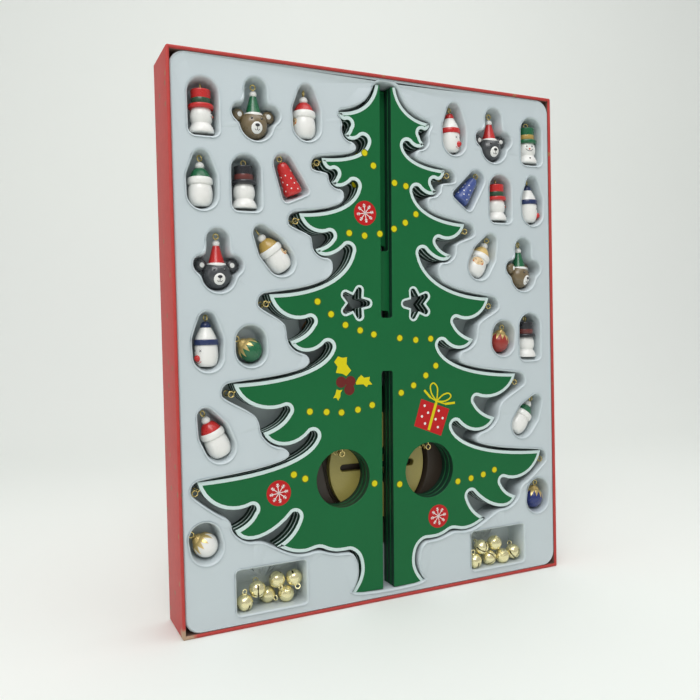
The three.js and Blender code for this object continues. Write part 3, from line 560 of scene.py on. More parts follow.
def tree_half():
    """The right half of the tree's edge, from the top down to the foot."""
    edge = []
    for i, (_, hook, barb, bay) in enumerate(TIERS):
        edge += cubic(sweep_of(i), 14)
        edge += cubic(under_of(i), 10)
        edge += arc(hook, HOOK_RADIUS, 75, 230, 9)
        edge += hollow(on_circle(hook, HOOK_RADIUS, 230), barb)
        edge += cubic(belly_of(i), 10)
        edge += arc(bay, BAY_RADIUS, 60, 205, 9)
    edge += hollow(on_circle(TIERS[-1][3], BAY_RADIUS, 205), LOWEST_BARB)
    edge += rounded_through([LOWEST_BARB, *SKIRT_WAVE, (FOOT_HALF_SPAN, TREE_FOOT)])
    edge.append((FOOT_HALF_SPAN, TREE_FOOT))
    return edge


def flip(points):
    return [(-x, z) for x, z in reversed(points)]


def panel_outline(top_end, bottom_end):
    right = tree_half()

    def slot_end(end, inwards):
        corner = SLOT_HALF - SLOT_CORNER
        turn = [on_circle((corner, 0), SLOT_CORNER, a) for a in (0, 22, 45, 67, 90)]
        half = [(x, end + inwards * (z - SLOT_CORNER)) for x, z in turn]
        return half + flip(half)

    line = list(right)
    if bottom_end:
        line += [(SLOT_HALF, TREE_FOOT), *slot_end(bottom_end, 1), (-SLOT_HALF, TREE_FOOT)]
    line += flip(right)
    if top_end:
        line += [(-SLOT_HALF, TREE_TOP), *reversed(slot_end(top_end, -1)), (SLOT_HALF, TREE_TOP)]
    return line[::-1]


def circle_line(centre, radius, sides):
    return [on_circle(centre, radius, 360 * i / sides) for i in range(sides)]


def star_line(centre, radius, inner, tip_radius, first, tip_steps=5):
    line = []
    for arm in range(5):
        middle = first + 72 * arm
        tip = on_circle(centre, radius - tip_radius, middle)
        turns = [middle + mix(-65, 65, i / tip_steps) for i in range(tip_steps + 1)]
        line += [on_circle(tip, tip_radius, turn) for turn in turns]
        line.append(on_circle(centre, inner, middle + 36))
    return line


def lean_to(point):
    x = point[0]
    z = point[1] - LEAN_PIVOT[1]
    return (
        LEAN_PIVOT[0] + x * math.cos(LEAN) + z * math.sin(LEAN),
        LEAN_PIVOT[1] - x * math.sin(LEAN) + z * math.cos(LEAN),
    )


def offset_line(line, distance, closed=True, limit=1.8):
    """Every corner moved to the right of the line as it runs, which is outwards on an anticlockwise one."""
    points = np.array(line, float)
    before = points - np.roll(points, 1, 0)
    after = np.roll(points, -1, 0) - points
    if not closed:
        before[0] = after[0]
        after[-1] = before[-1]
    before /= np.maximum(np.linalg.norm(before, axis=1), 1e-9)[:, None]
    after /= np.maximum(np.linalg.norm(after, axis=1), 1e-9)[:, None]
    along = before + after
    along /= np.maximum(np.linalg.norm(along, axis=1), 1e-9)[:, None]
    out = np.stack([along[:, 1], -along[:, 0]], 1)
    stretch = 1 / np.maximum((along * after).sum(1), 1 / limit)
    return [tuple(p) for p in points + out * (distance * stretch)[:, None]]


def inside(points, loops):
    """Which points lie inside an odd number of loops."""
    result = np.zeros(len(points), bool)
    for loop in loops:
        a = np.array(loop, float)
        b = np.roll(a, -1, 0)
        for (x0, z0), (x1, z1) in zip(a, b):
            if z0 == z1:
                continue
            crosses = (points[:, 1] < max(z0, z1)) & (points[:, 1] >= min(z0, z1))
            at = x0 + (points[:, 1] - z0) / (z1 - z0) * (x1 - x0)
            result ^= crosses & (points[:, 0] < at)
    return result


def fill(loops):
    """Triangles, as indices into all loops' corners in turn, that fill the first loop around the others."""
    corners = [Vector(p) for loop in loops for p in loop]
    edges = []
    start = 0
    for loop in loops:
        edges += [(start + i, start + (i + 1) % len(loop)) for i in range(len(loop))]
        start += len(loop)
    made, _, faces, origins, _, _ = delaunay_2d_cdt(corners, edges, [], 0, 1e-7)
    flat = np.array([tuple(v) for v in made])
    centres = np.array([flat[list(f)].mean(0) for f in faces])
    kept = inside(centres, loops)
    triangles = []
    for face, keep in zip(faces, kept):
        if keep and all(origins[i] for i in face):
            a, b, c = (origins[i][0] for i in face)
            pa, pb, pc = corners[a], corners[b], corners[c]
            turn = (pb.x - pa.x) * (pc.y - pa.y) - (pb.y - pa.y) * (pc.x - pa.x)
            triangles.append((a, b, c) if turn > 0 else (a, c, b))
    return triangles


def slab(piece, outline, holes, front, thickness, bevel, face, edge, matrix=None):
    """A flat board with softened edges. The outline runs anticlockwise and the holes clockwise."""
    loops = [outline, *holes]
    inner = [offset_line(loop, -bevel) for loop in loops]
    triangles = fill(inner)
    flat = [p for loop in inner for p in loop]
    rear = front + thickness
    piece.add([(x, front, z) for x, z in flat], triangles, face, matrix)
    piece.add([(x, rear, z) for x, z in flat], [t[::-1] for t in triangles], edge, matrix)
    for loop, drawn in zip(loops, inner):
        rows = [
            [(x, front, z) for x, z in drawn],
            [(x, front + bevel, z) for x, z in loop],
            [(x, rear - bevel, z) for x, z in loop],
            [(x, rear, z) for x, z in drawn],
        ]
        piece.grid(rows[:2][::-1], face, matrix)
        piece.grid(rows[1:][::-1], edge, matrix)


def ribbon(piece, line, stations, material, matrix=None, closed=False):
    """A painted band along a line, through stations of (distance to its right, depth), left to right."""
    rows = [[(x, depth, z) for x, z in offset_line(line, far, closed)] for far, depth in stations]
    piece.grid(rows[::-1], material, matrix, wrap=closed)


def spot(piece, outline, depth, material):
    """A flat painted patch."""
    piece.add([(x, depth, z) for x, z in outline], fill([outline]), material)


# Carton: a tray of folded card with rounded folds and a rolled rim


def rounded_box_loop(half_x, low_z, high_z, radius, steps=4):
    line = []
    for cx, cz, first in (
        (half_x - radius, low_z + radius, -90),
        (half_x - radius, high_z - radius, 0),
        (radius - half_x, high_z - radius, 90),
        (radius - half_x, low_z + radius, 180),
    ):
        line += [on_circle((cx, cz), radius, first + 90 * i / steps) for i in range(steps + 1)]
    return line


def make_carton():
    piece = Piece("carton_card")
    half = CARTON_WIDTH / 2

    def ring(inset, depth, radius):
        loop = rounded_box_loop(half - inset, inset, CARTON_HEIGHT - inset, radius)
        return [(x, depth, z) for x, z in loop]

    outer = [
        ring(0.5, CARTON_DEPTH, 0.9),
        ring(0.12, CARTON_DEPTH - 0.12, 1.0),
        ring(0, CARTON_DEPTH - 0.6, 1.1),
        ring(0, 1.2, 1.1),
        ring(0.1, 0.45, 1.0),
        ring(0.45, 0.1, 0.8),
        ring(1.0, 0, 0.6),
        ring(1.5, 0.1, 0.5),
        ring(1.85, 0.4, 0.4),
        ring(CARTON_WALL, 1.0, 0.3),
    ]
    piece.grid(outer, CARD)
    inner = [outer[-1], ring(CARTON_WALL, CARTON_DEPTH - CARTON_WALL, 0.3)]
    piece.grid(inner, CARD_INSIDE)
    piece.cap(outer[0], CARD, turn=-1)
    piece.cap(inner[1], CARD_INSIDE)
    piece.finish("carton", ["carton"], "card_red", smooth_below=50)


# Insert


def hull_reach(circles, grow, centre, directions):
    """How far from a centre the line round some circles lies in each direction."""
    angles = np.linspace(0, TAU, 240, endpoint=False)
    normals = np.stack([np.cos(angles), np.sin(angles)], 1)
    circles = np.array(circles, float)
    support = (circles[:, :2] @ normals.T + circles[:, 2:]).max(0) + grow
    room = support - normals @ np.array(centre, float)
    facing = directions @ normals.T
    return np.where(facing > 1e-3, room / np.maximum(facing, 1e-3), np.inf).min(1)


def cup_loop(shapes, grow, centre, count, blend=1.2):
    """The line round several joined pockets, star-shaped about a centre."""
    angles = (np.arange(count) + 0.5) / count * TAU
    directions = np.stack([np.cos(angles), np.sin(angles)], 1)
    reaches = np.array([hull_reach(circles, grow, centre, directions) for circles in shapes])
    top = reaches.max(0)
    reach = top if len(shapes) == 1 else top + blend * np.log(np.exp((reaches - top) / blend).sum(0))
    return [(centre[0] + r * d[0], centre[1] + r * d[1]) for r, d in zip(reach, directions)]


LIP = [(0.75, 0.0), (0.48, 0.03), (0.24, 0.14), (0.08, 0.36), (0.0, 0.7)]


def cup_profile(floor, draft, fillet):
    """Rings down a cup: how far each is grown, its depth, and its share of the way to the floor."""
    mouth = 0.5
    rows = [(grow, PLATE_DEPTH + down, 0.0) for grow, down in LIP]
    for share in (0.3, 0.55, 0.8):
        depth = mix(PLATE_DEPTH + 1, floor - fillet, share)
        t = (depth - mouth) / (floor - mouth)
        rows.append((-draft * t, depth, t))
    for angle in (20, 45, 70, 90):
        a = math.radians(angle)
        depth = floor - fillet * (1 - math.sin(a))
        rows.append((-draft - fillet * (1 - math.cos(a)), depth, 1.0))
    return rows


def add_cup(piece, mouth_shapes, floor_shapes, centre, floor, draft, fillet, count):
    rows = []
    for grow, depth, share in cup_profile(floor, draft, fillet):
        shapes = [
            [tuple(mix(a, b, share) for a, b in zip(p, q)) for p, q in zip(mouth, base)]
            for mouth, base in zip(mouth_shapes, floor_shapes)
        ]
        rows.append([(x, depth, z) for x, z in cup_loop(shapes, grow, centre, count)])
    cx, cz = centre
    last = rows[-1]
    for share in (0.6, 0.25):
        rows.append([(cx + (x - cx) * share, floor, cz + (z - cz) * share) for x, _, z in last])
    piece.grid(rows[::-1], PLASTIC)
    inner = rows[-1]
    piece.add([*inner, (cx, floor, cz)], [(i, (i + 1) % count, count) for i in range(count)], PLASTIC)
    return [(x, z) for x, _, z in rows[0]]


# Each kind of ornament. It stands this far above its pocket's lowest point, and its axis is half its depth
# behind its foremost point
HAT = {"base": 7.3, "height": 24.5, "stand": 2.9, "half_depth": 7.3}
POM = {"brim": 7.2, "pom": 2.6, "brim_height": 12.5, "height": 25.5, "stand": 3.0, "half_depth": 7.2}
NOSE = {"band": 7.1, "cap": 2.7, "band_height": 12.5, "height": 26, "stand": 3.2, "half_depth": 7.1}
BEAR = {
    "head": 8.2, "ear": 3.7, "spread": 9.2, "rise": 5.6, "hat": 5.6,
    "height": 28.344, "stand": 2.6, "half_depth": 7.2,
}
BELL = {"mouth": 5.7, "shoulder": 3.4, "slack": 3.8, "height": 20.5, "stand": 3.2, "half_depth": 5.7}
BAUBLE = {"radius": 7.4, "height": 16.03, "stand": 2.7, "half_depth": 7.4}
KINDS = {"hat": HAT, "pom": POM, "nose": NOSE, "bear": BEAR, "bell": BELL, "bauble": BAUBLE}
FIGURE_FRONT_DEPTH = 0.7
SLACK = 2.3
EYE_HEIGHT = 3.84
HEADROOM = 5.5
POCKET_DRAFT = 1.2
POCKET_RAMP = 1.6
POCKET_FILLET = 2.2
POCKET_MIDDLE = 14
POCKET_SIDES = 72
WIDE_SIDES = 96


def egg(lower, upper, length, ramp):
    return [(0, lower + ramp, lower), (0, length - upper, upper)]


def square(half, corner, upper, length, ramp):
    side = half - corner
    return [(-side, corner + ramp, corner), (side, corner + ramp, corner), (0, length - upper, upper)]


def pocket_shapes(kind, ramp):
    """The circles that each part of a pocket is drawn round: (x, z, radius) above its lowest point."""
    length = KINDS[kind]["height"] + EYE_HEIGHT + HEADROOM
    if kind == "hat":
        half = HAT["base"] + SLACK
        return [square(half, half / 2, half, length, ramp)]
    if kind == "pom":
        ends = egg(POM["brim"] + SLACK, POM["pom"] + SLACK + 0.8, length, ramp)
        return [ends + [(0, POM["brim_height"] + 5.5, POM["brim"] + 2.5)]]
    if kind == "nose":
        ends = egg(NOSE["band"] + SLACK, NOSE["cap"] + SLACK + 0.8, length, ramp)
        return [ends + [(0, NOSE["band_height"] + 5.5, NOSE["band"] + 2.7)]]
    if kind == "bear":
        head = BEAR["head"] + SLACK
        ears = BEAR["head"] + BEAR["rise"] + BEAR["stand"]
        room = BEAR["hat"] + 1.8
        ear = BEAR["ear"] + SLACK
        return [
            [(0, head + ramp, head)],
            [(-BEAR["spread"], ears, ear), (BEAR["spread"], ears, ear)],
            [(0, ears, room), (0, length - room, room)],
        ]
    if kind == "bell":
        return [square(BELL["mouth"] + BELL["slack"], 3.5, BELL["shoulder"] + 3.4, length - 1.2, ramp)]
    return [egg(BAUBLE["radius"] + 2.6, BAUBLE["radius"] + 2.5, length, ramp)]


# Every ornament: name, kind, its pocket's lowest point, the pocket's tilt to the right,
# then how far it stands to the right in its pocket, turns to its left and leans over
ORNAMENTS = [
    ("snowman_red_top_hat", "hat", (-113, 281.6), 0, 0.3, -68, 0),
    ("bear_green_hat", "bear", (-82, 281.4), 0, 0.3, 0, 0),
    ("beard_head_red_hat", "pom", (-50.5, 284), 0, 0.58, 95, 0),
    ("snowman_green_pom_hat", "pom", (-114.8, 240.2), 0, 0.4, 160, 0),
    ("snowman_black_top_hat", "hat", (-88.9, 240.4), 0, 0.3, 170, 0),
    ("cone_bell_red", "bell", (-57.4, 249.6), -23, 0.7, 0, 0),
    ("bear_red_hat", "bear", (-106.6, 193.8), 0, 0.4, 0, 0),
    ("beard_head_gold_hat", "pom", (-63.3, 205.3), -36.6, 0.51, -68, 0),
    ("snowman_blue_cap", "nose", (-114, 149), 0, 0.4, 62, 0),
    ("bauble_green", "bauble", (-88.6, 150.8), 0, 1.3, 0, -50),
    ("snowman_red_pom_hat", "pom", (-104.5, 97.6), -24, 0.2, 150, 0),
    ("bauble_white", "bauble", (-115.6, 39.8), -12, 0.7, 0, -38),
    ("snowman_red_cap", "nose", (53.9, 284), 0, 0.35, -27, 0),
    ("bear_red_hat_dark", "bear", (85.4, 281.4), 0, 0.65, 0, 0),
    ("snowman_green_top_hat", "hat", (117, 281.8), 0, 0.61, 15, 0),
    ("cone_bell_blue", "bell", (57.4, 252.6), 38, 0.2, 0, 0),
    ("snowman_red_top_hat_second", "hat", (90.2, 241), 0, 0.5, -60, 0),
    ("snowman_blue_cap_second", "nose", (117.3, 240.4), 0, 0.35, -55, 0),
    ("beard_head_cream_hat", "pom", (67.4, 203.6), 28.7, 0.58, 25, 0),
    ("bear_green_hat_second", "bear", (108.5, 195), 0, 0.65, -22, 0),
    ("bauble_red", "bauble", (89, 150.8), 8, 0.72, 0, 10),
    ("snowman_black_top_hat_second", "hat", (113.4, 146.8), 0, 0.65, 160, 0),
    ("snowman_green_pom_hat_second", "pom", (99.7, 95.5), 38, -0.3, 160, 0),
    ("bauble_blue", "bauble", (116.4, 39.6), 8, 0.65, 0, 6),
]
BIN_CENTRES = {"left": -79.5, "right": 83.3}
BIN_WIDTH = 45
BIN_HEIGHT = 27.5
BIN_BOTTOM = 7
BIN_CORNER = 3
BIN_FLOOR_DEPTH = 19
BIN_DRAFT = 0.5
BIN_FILLET = 1.4


def tilt_to(x, z, at, tilt):
    angle = math.radians(tilt)
    return (
        at[0] + x * math.cos(angle) + z * math.sin(angle),
        at[1] - x * math.sin(angle) + z * math.cos(angle),
    )


def chaikin(line, times=2):
    points = np.array(line, float)
    for _ in range(times):
        after = np.roll(points, -1, 0)
        points = np.stack([points * 0.75 + after * 0.25, points * 0.25 + after * 0.75], 1).reshape(-1, 2)
    return [tuple(p) for p in points]


def beside(controls, share):
    """The point of the recess's edge beside a point of the tree's edge."""
    at, along = on_cubic(controls, share)
    along /= np.linalg.norm(along)
    return (at[0] - along[1] * RECESS_GAP, at[1] + along[0] * RECESS_GAP)


def recess_line():
    """The edge of the tree's recess, anticlockwise, in the row's frame."""
    edge = [(TREE_TOP_HALF + 1, TREE_TOP + RECESS_GAP)]
    last = len(TIERS) - 1
    for i, (tip, hook, barb, _) in enumerate(TIERS):
        edge += [beside(sweep_of(i), share) for share in ((0.42, 0.62, 0.8) if i else (0.25, 0.5, 0.8))]
        if i:
            furthest = INSERT_HALF_WIDTH - 4 - LOBE_RADIUS
            lobe = (min(tip[0] + LOBE_OFFSET[0], furthest), tip[1] + LOBE_OFFSET[1])
            edge += arc(lobe, LOBE_RADIUS, 85, -65, 5)
        else:
            edge.append((tip[0] + RECESS_GAP, tip[1] + 1))
        edge.append((mix(hook[0], tip[0], 0.68), hook[1] - 1))
        edge.append((barb[0] + RECESS_GAP * 1.3, mix(hook[1], barb[1], 0.45)))
        edge.append((barb[0] + RECESS_GAP, barb[1] - 1.4))
        edge += [beside(belly_of(i), share) for share in ((0.28, 0.55) if i < last else (0.28, 0.5))]
    edge.append((LOWEST_BARB[0] + RECESS_GAP * 1.6, LOWEST_BARB[1] + 0.6))
    edge += [(x + 0.6, z - RECESS_GAP * 0.8) for x, z in SKIRT_WAVE[:7]]
    edge += [(x + RECESS_GAP, z - 1.2) for x, z in SKIRT_WAVE[7:]]
    edge.append((FOOT_HALF_SPAN + RECESS_GAP, TREE_FOOT - RECESS_GAP * 0.5))
    whole = [lean_to(p) for p in (edge + flip(edge))[::-1]]
    return chaikin(whole, 2)


def make_insert():
    piece = Piece("blister_sheet")
    holes = []
    for _, kind, at, tilt, *_ in ORNAMENTS:
        mouth, base = (
            [[(*tilt_to(x, z, at, tilt), r) for x, z, r in circles] for circles in pocket_shapes(kind, ramp)]
            for ramp in (0, POCKET_RAMP)
        )
        middle = BEAR["head"] + BEAR["rise"] + BEAR["stand"] if kind == "bear" else POCKET_MIDDLE
        centre = tilt_to(0, middle, at, tilt)
        floor = FIGURE_FRONT_DEPTH + 2 * KINDS[kind]["half_depth"] + SEAT_GAP
        holes.append(add_cup(piece, mouth, base, centre, floor, POCKET_DRAFT, POCKET_FILLET, POCKET_SIDES))
    for centre_x in BIN_CENTRES.values():
        x = BIN_WIDTH / 2 - BIN_CORNER
        low = BIN_BOTTOM + BIN_CORNER
        high = BIN_BOTTOM + BIN_HEIGHT - BIN_CORNER
        box = [[(centre_x + sx * x, z, BIN_CORNER) for sx in (-1, 1) for z in (low, high)]]
        centre = (centre_x, (low + high) / 2)
        holes.append(add_cup(piece, box, box, centre, BIN_FLOOR_DEPTH, BIN_DRAFT, BIN_FILLET, WIDE_SIDES))

    line = recess_line()
    rows = [[(x, PLATE_DEPTH + down, z) for x, z in offset_line(line, grow)] for grow, down in LIP]
    for share in (0.35, 0.7, 0.93, 1.0):
        depth = mix(PLATE_DEPTH + 1, RECESS_FLOOR_DEPTH, share)
        rows.append([(x, depth, z) for x, z in offset_line(line, -0.5 * share)])
    piece.grid(rows[::-1], PLASTIC)
    holes.append([(x, z) for x, _, z in rows[0]])

    disc = lean_to(DISC[:2])
    star = lean_to(TOPPER[:2])
    circles = [(*disc, DISC[2] + 3.5), (*star, TOPPER[2] + 2)]
    middle = (mix(disc[0], star[0], 0.35), mix(disc[1], star[1], 0.35))
    well = []
    for grow, depth in (
        (0.6, RECESS_FLOOR_DEPTH),
        (0.2, RECESS_FLOOR_DEPTH + 0.1),
        (0, RECESS_FLOOR_DEPTH + 0.5),
        (-0.4, WELL_FLOOR_DEPTH - 0.9),
        (-0.8, WELL_FLOOR_DEPTH - 0.2),
        (-1.6, WELL_FLOOR_DEPTH),
    ):
        well.append([(x, depth, z) for x, z in cup_loop([circles], grow, middle, WIDE_SIDES)])
    piece.grid(well[::-1], RECESS)
    piece.cap(well[-1], RECESS)
    floor_outer = [(x, z) for x, _, z in rows[-1]]
    floor_inner = [(x, z) for x, _, z in well[0]]
    flat = floor_outer + floor_inner
    piece.add([(x, RECESS_FLOOR_DEPTH, z) for x, z in flat], fill([floor_outer, floor_inner]), RECESS)

    def edge_ring(inset, depth):
        low = INSERT_BOTTOM + inset
        high = INSERT_TOP - inset
        loop = rounded_box_loop(INSERT_HALF_WIDTH - inset, low, high, INSERT_CORNER - inset, 10)
        return [(x, depth, z) for x, z in loop]

    edge = [
        edge_ring(1.2, PLATE_DEPTH),
        edge_ring(0.6, PLATE_DEPTH + 0.12),
        edge_ring(0.2, PLATE_DEPTH + 0.45),
        edge_ring(0, PLATE_DEPTH + 1.1),
        edge_ring(0, INSERT_BACK_DEPTH),
    ]
    piece.grid(edge, PLASTIC)
    rim = [(x, z) for x, _, z in edge[0]]
    flat = [p for loop in [rim, *holes] for p in loop]
    piece.add([(x, PLATE_DEPTH, z) for x, z in flat], fill([rim, *holes]), PLASTIC)
    piece.finish("insert", ["blister_insert"], "insert_plastic", smooth_below=70, sheet=INSERT_SHEET)


# Tree panels


FRONT_SLOTS = (178.5, 145)
MIDDLE_SLOTS = (221, 183)
BACK_SLOTS = (None, 225)
PAINT = 0.03
BORDER_WIDTH = 2.1
STAR_BORDER_WIDTH = 1.35
EYE_SHARE = 0.12
EYE_SHANK = 1.0
FRONT_EYE_SHANK = 5.2
MIDDLE_EYE_TURN = math.radians(70)

# Painted places as (x, z) in the row's frame, so the boards' lean isn't added to them
DOTS = [
    (-12, 281), (-6, 273.5), (8.75, 263.75), (17, 262.25), (24, 244.75), (16, 239), (7.75, 234.75),
    (-2.5, 231.25), (-13.25, 229.75), (-23.75, 231), (-46, 189), (-37.25, 181.25), (-27.75, 174.5),
    (-17.75, 171), (-8.25, 168.25), (10.25, 165.5), (22, 164), (33.25, 164.5), (36.75, 146.75),
    (29, 140.75), (19.75, 134.75), (10.5, 130.5), (-10.5, 124), (-20.5, 121.75), (-31.75, 120.75),
    (-41.75, 121.75), (-52.75, 122.75), (-64, 85.75), (-56.75, 82.5), (-10, 74.5), (8, 72),
    (52.25, 69), (62.75, 70), (72.75, 71.5), (82, 73.75),
]
SNOWFLAKES = [(-12.5, 243.75), (-73.75, 75.75), (36.5, 47.75)]
SNOWFLAKE_RADIUS = 7.65
SNOWFLAKE_ARM = 5.9
DOT_RADIUS = 1.85
RING_WIDTH = 0.5
PLAIN_HALF = 9
GIFT = [(25.25, 125.75), (46.5, 117.7), (39.75, 100.5), (19.5, 108.5)]
GIFT_DOTS = [
    (27.7, 121.1), (30.15, 116.4), (25.5, 114.3), (27.7, 109.5),
    (38.3, 117.1), (41.2, 112.05), (35.8, 111.7), (37.4, 106.4),
]
GIFT_BAND = [(36.5, 122.5), (33.5, 114), (30.4, 105.1)]
GIFT_KNOT = (36.85, 123.5)
GIFT_LOOPS = [
    [(33.2, 128.6), (32.3, 133.5), (34.7, 135.5), (37.5, 132.7), (37.5, 127.8)],
    [(41.4, 127.1), (45.6, 128.2), (47.8, 126.8), (46.9, 124.7), (42.6, 123.1)],
]
GIFT_TAILS = [[(32.3, 126.1), (27.6, 131.3)], [(43.3, 121.3), (51, 121.6)]]
BERRIES = [(-31.5, 139.5), (-25.25, 139.5), (-26.1, 134.6)]
BERRY_RADIUS = 3.5
HOLLY_LEAVES = [
    [
        (-33.2, 155.4), (-35.9, 152.1), (-33.7, 149), (-34.95, 145.4), (-30.6, 144.6),
        (-27.8, 143), (-24.6, 146.4), (-27.6, 150.4), (-27.2, 154.7), (-30.4, 154.4),
    ],
    [
        (-21.6, 138.6), (-19.8, 141.5), (-17.7, 143.2), (-15.6, 141.4), (-11.7, 141.8), (-12.2, 139.4),
        (-10.1, 137), (-13, 136.9), (-14.1, 135.5), (-16.4, 137.4), (-21.3, 137.4),
    ],
    [
        (-34.7, 135.2), (-35.6, 132.2), (-37.1, 129.9), (-34.9, 130), (-33.9, 128.2),
        (-32.3, 130.6), (-32.1, 132.9), (-30.8, 134.75), (-32.8, 134.5),
    ],
]


def strip(piece, line, width, depth, material):
    ribbon(piece, line, [(-width / 2, depth), (width / 2, depth)], material)


def decorate(piece, front, mirrored, behind):
    """The painted pictures on a board. One behind has none where the front board's slots would show it."""
    side = -1 if mirrored else 1

    def put(line):
        moved = [(side * x, z) for x, z in line]
        return moved[::-1] if mirrored else moved

    for x, z in SNOWFLAKES:
        if behind and abs(x) - SNOWFLAKE_RADIUS < PLAIN_HALF:
            continue
        spot(piece, put(circle_line((x, z), SNOWFLAKE_RADIUS, 40)), front - PAINT, PRINT_RED)
        for arm in range(8):
            angle = 45 * arm + 8
            spoke = [(x, z), on_circle((x, z), SNOWFLAKE_ARM, angle)]
            strip(piece, put(spoke), 0.44, front - 2 * PAINT, PRINT_WHITE)
            for reach, length in ((3.4, 1.5), (4.6, 1.2)):
                base = on_circle((x, z), reach, angle)
                for way in (-38, 38):
                    tip = on_circle(base, length, angle + way)
                    strip(piece, put([base, tip]), 0.36, front - 2.5 * PAINT, PRINT_WHITE)
    for leaf in HOLLY_LEAVES:
        spot(piece, put(leaf), front - PAINT, YELLOW)
    for i, centre in enumerate(BERRIES):
        spot(piece, put(circle_line(centre, BERRY_RADIUS, 28)), front - (1.5 + 0.3 * i) * PAINT, BERRY)
    spot(piece, put(GIFT[::-1]), front - PAINT, PRINT_RED)
    for centre in GIFT_DOTS:
        spot(piece, put(circle_line(centre, 0.85, 16)), front - 2 * PAINT, PRINT_WHITE)
    strip(piece, put(GIFT_BAND), 2.0, front - 2.2 * PAINT, YELLOW)
    for loop in GIFT_LOOPS:
        path = rounded_through([GIFT_KNOT, *loop, GIFT_KNOT], 6) + [GIFT_KNOT]
        strip(piece, put(path), 0.95, front - 2.4 * PAINT, YELLOW)
    for middle, end in GIFT_TAILS:
        strip(piece, put([GIFT_KNOT, middle]), 0.9, front - 2.6 * PAINT, YELLOW)
        strip(piece, put([middle, end]), 1.5, front - 2.6 * PAINT, YELLOW)
    spot(piece, put(circle_line(GIFT_KNOT, 1.1, 16)), front - 2.8 * PAINT, YELLOW)


def tube(piece, path, radius, material, sides=10, closed=False, matrix=None):
    """A round wire along points."""
    points = [Vector(p) for p in path]
    count = len(points)
    rows = []
    side = None
    for i, p in enumerate(points):
        before = points[(i - 1) % count] if closed or i else p
        after = points[(i + 1) % count] if closed or i < count - 1 else p
        along = (after - before).normalized()
        if side is None:
            side = along.orthogonal().normalized()
        side = (side - along * side.dot(along)).normalized()
        other = along.cross(side)
        rows.append(
            [
                p + radius * (math.cos(a) * side + math.sin(a) * other)
                for a in (-TAU * k / sides for k in range(sides))
            ]
        )
    if closed:
        rows.append(rows[0])
    piece.grid(rows, material, matrix)
    if not closed:
        piece.cap(rows[0], material, matrix)
        piece.cap(rows[-1], material, matrix, turn=-1)


def screw_eye(piece, radius, wire, neck, shank, matrix):
    """A ring of brass wire that closes on its own shank. The ring hangs towards -Z."""
    centre = -neck - radius
    turns = [math.radians(12 + 340 * i / 26) for i in range(27)]
    ring = [(radius * math.sin(a), 0, centre + radius * math.cos(a)) for a in turns]
    straight = [(0.1, 0, -neck + 0.25), (0, 0, 0), (0, 0, shank)]
    tube(piece, ring[::-1] + straight, wire, BRASS, matrix=matrix)


def tree_eyes():
    """Each eye of a panel: its name, the edge point where its shank goes in, and how it hangs."""
    eyes = []
    for side, word in ((-1, "left"), (1, "right")):
        for i in range(1, len(TIERS)):
            at, along = on_cubic(under_of(i), EYE_SHARE)
            hang = side * math.atan2(-along[1], -along[0])
            eyes.append((f"{word}_tier_{i + 1}", (side * at[0], at[1]), hang))
        eyes.append((f"{word}_hole", (side * ROUND_HOLE[0], ROUND_HOLE[1] + ROUND_HOLE[2]), 0))
    return eyes


def lean_matrix():
    turn = Matrix.Rotation(LEAN, 4, "Y")
    x, z = lean_to((0, 0))
    return Matrix.Translation((x, 0, z)) @ turn


def eye_matrix(edge, hang, depth):
    place = Matrix.Translation((edge[0], depth, edge[1]))
    return lean_matrix() @ place @ Matrix.Rotation(-hang, 4, "Y")


def make_panel(name, body, index, slots, mirrored):
    """A painted board. The index counts the boards from the front."""
    piece = Piece(name + "_painted")
    front = PANEL_FRONT_DEPTH + index * PANEL_PITCH
    x, z, radius = ROUND_HOLE
    star_x, star_z, *star = STAR_HOLE
    holes = [
        circle_line((x, z), radius, 72)[::-1],
        circle_line((-x, z), radius, 72)[::-1],
        star_line((star_x, star_z), *star, 180)[::-1],
        star_line((-star_x, star_z), *star, 0)[::-1],
    ]
    matrix = lean_matrix()
    slab(piece, panel_outline(*slots), holes, front, PANEL_THICKNESS, 0.25, GREEN_FACE, GREEN_EDGE, matrix)

    def border(line, near, far, closed):
        """A painted edge along a line that has the wood to its right."""
        painted = front - PAINT
        stations = [(-0.02, front + 0.5), (-0.02, front + 0.2), (near, painted), (far, painted)]
        ribbon(piece, line, stations, BORDER, matrix, closed)

    right = tree_half()
    border(right, 0.22, BORDER_WIDTH, False)
    border(flip(right), 0.22, BORDER_WIDTH, False)
    for hole in holes[2:]:
        border(hole[::-1], 0.2, STAR_BORDER_WIDTH, True)
    decorate(piece, front, mirrored, bool(index))
    if index:
        middle = front + PANEL_THICKNESS / 2
        turn = Matrix.Rotation(MIDDLE_EYE_TURN if index == 1 else 0, 4, "Z")
        for _, edge, hang in tree_eyes():
            screw_eye(piece, *TREE_EYE, EYE_SHANK, eye_matrix(edge, hang, middle) @ turn)
    piece.finish(body, [name], "tree_green", smooth_below=35)
    make_garland(body, f"garland_{body}", front, mirrored, bool(index))


def make_front_eyes():
    middle = PANEL_FRONT_DEPTH + PANEL_THICKNESS / 2
    for name, edge, hang in tree_eyes():
        piece = Piece(f"wire_eye_{name}")
        screw_eye(piece, *TREE_EYE, FRONT_EYE_SHANK, eye_matrix(edge, hang, middle))
        piece.finish("panel_front", [f"screw_eye_{name}"], "brass_wire", smooth_below=180)


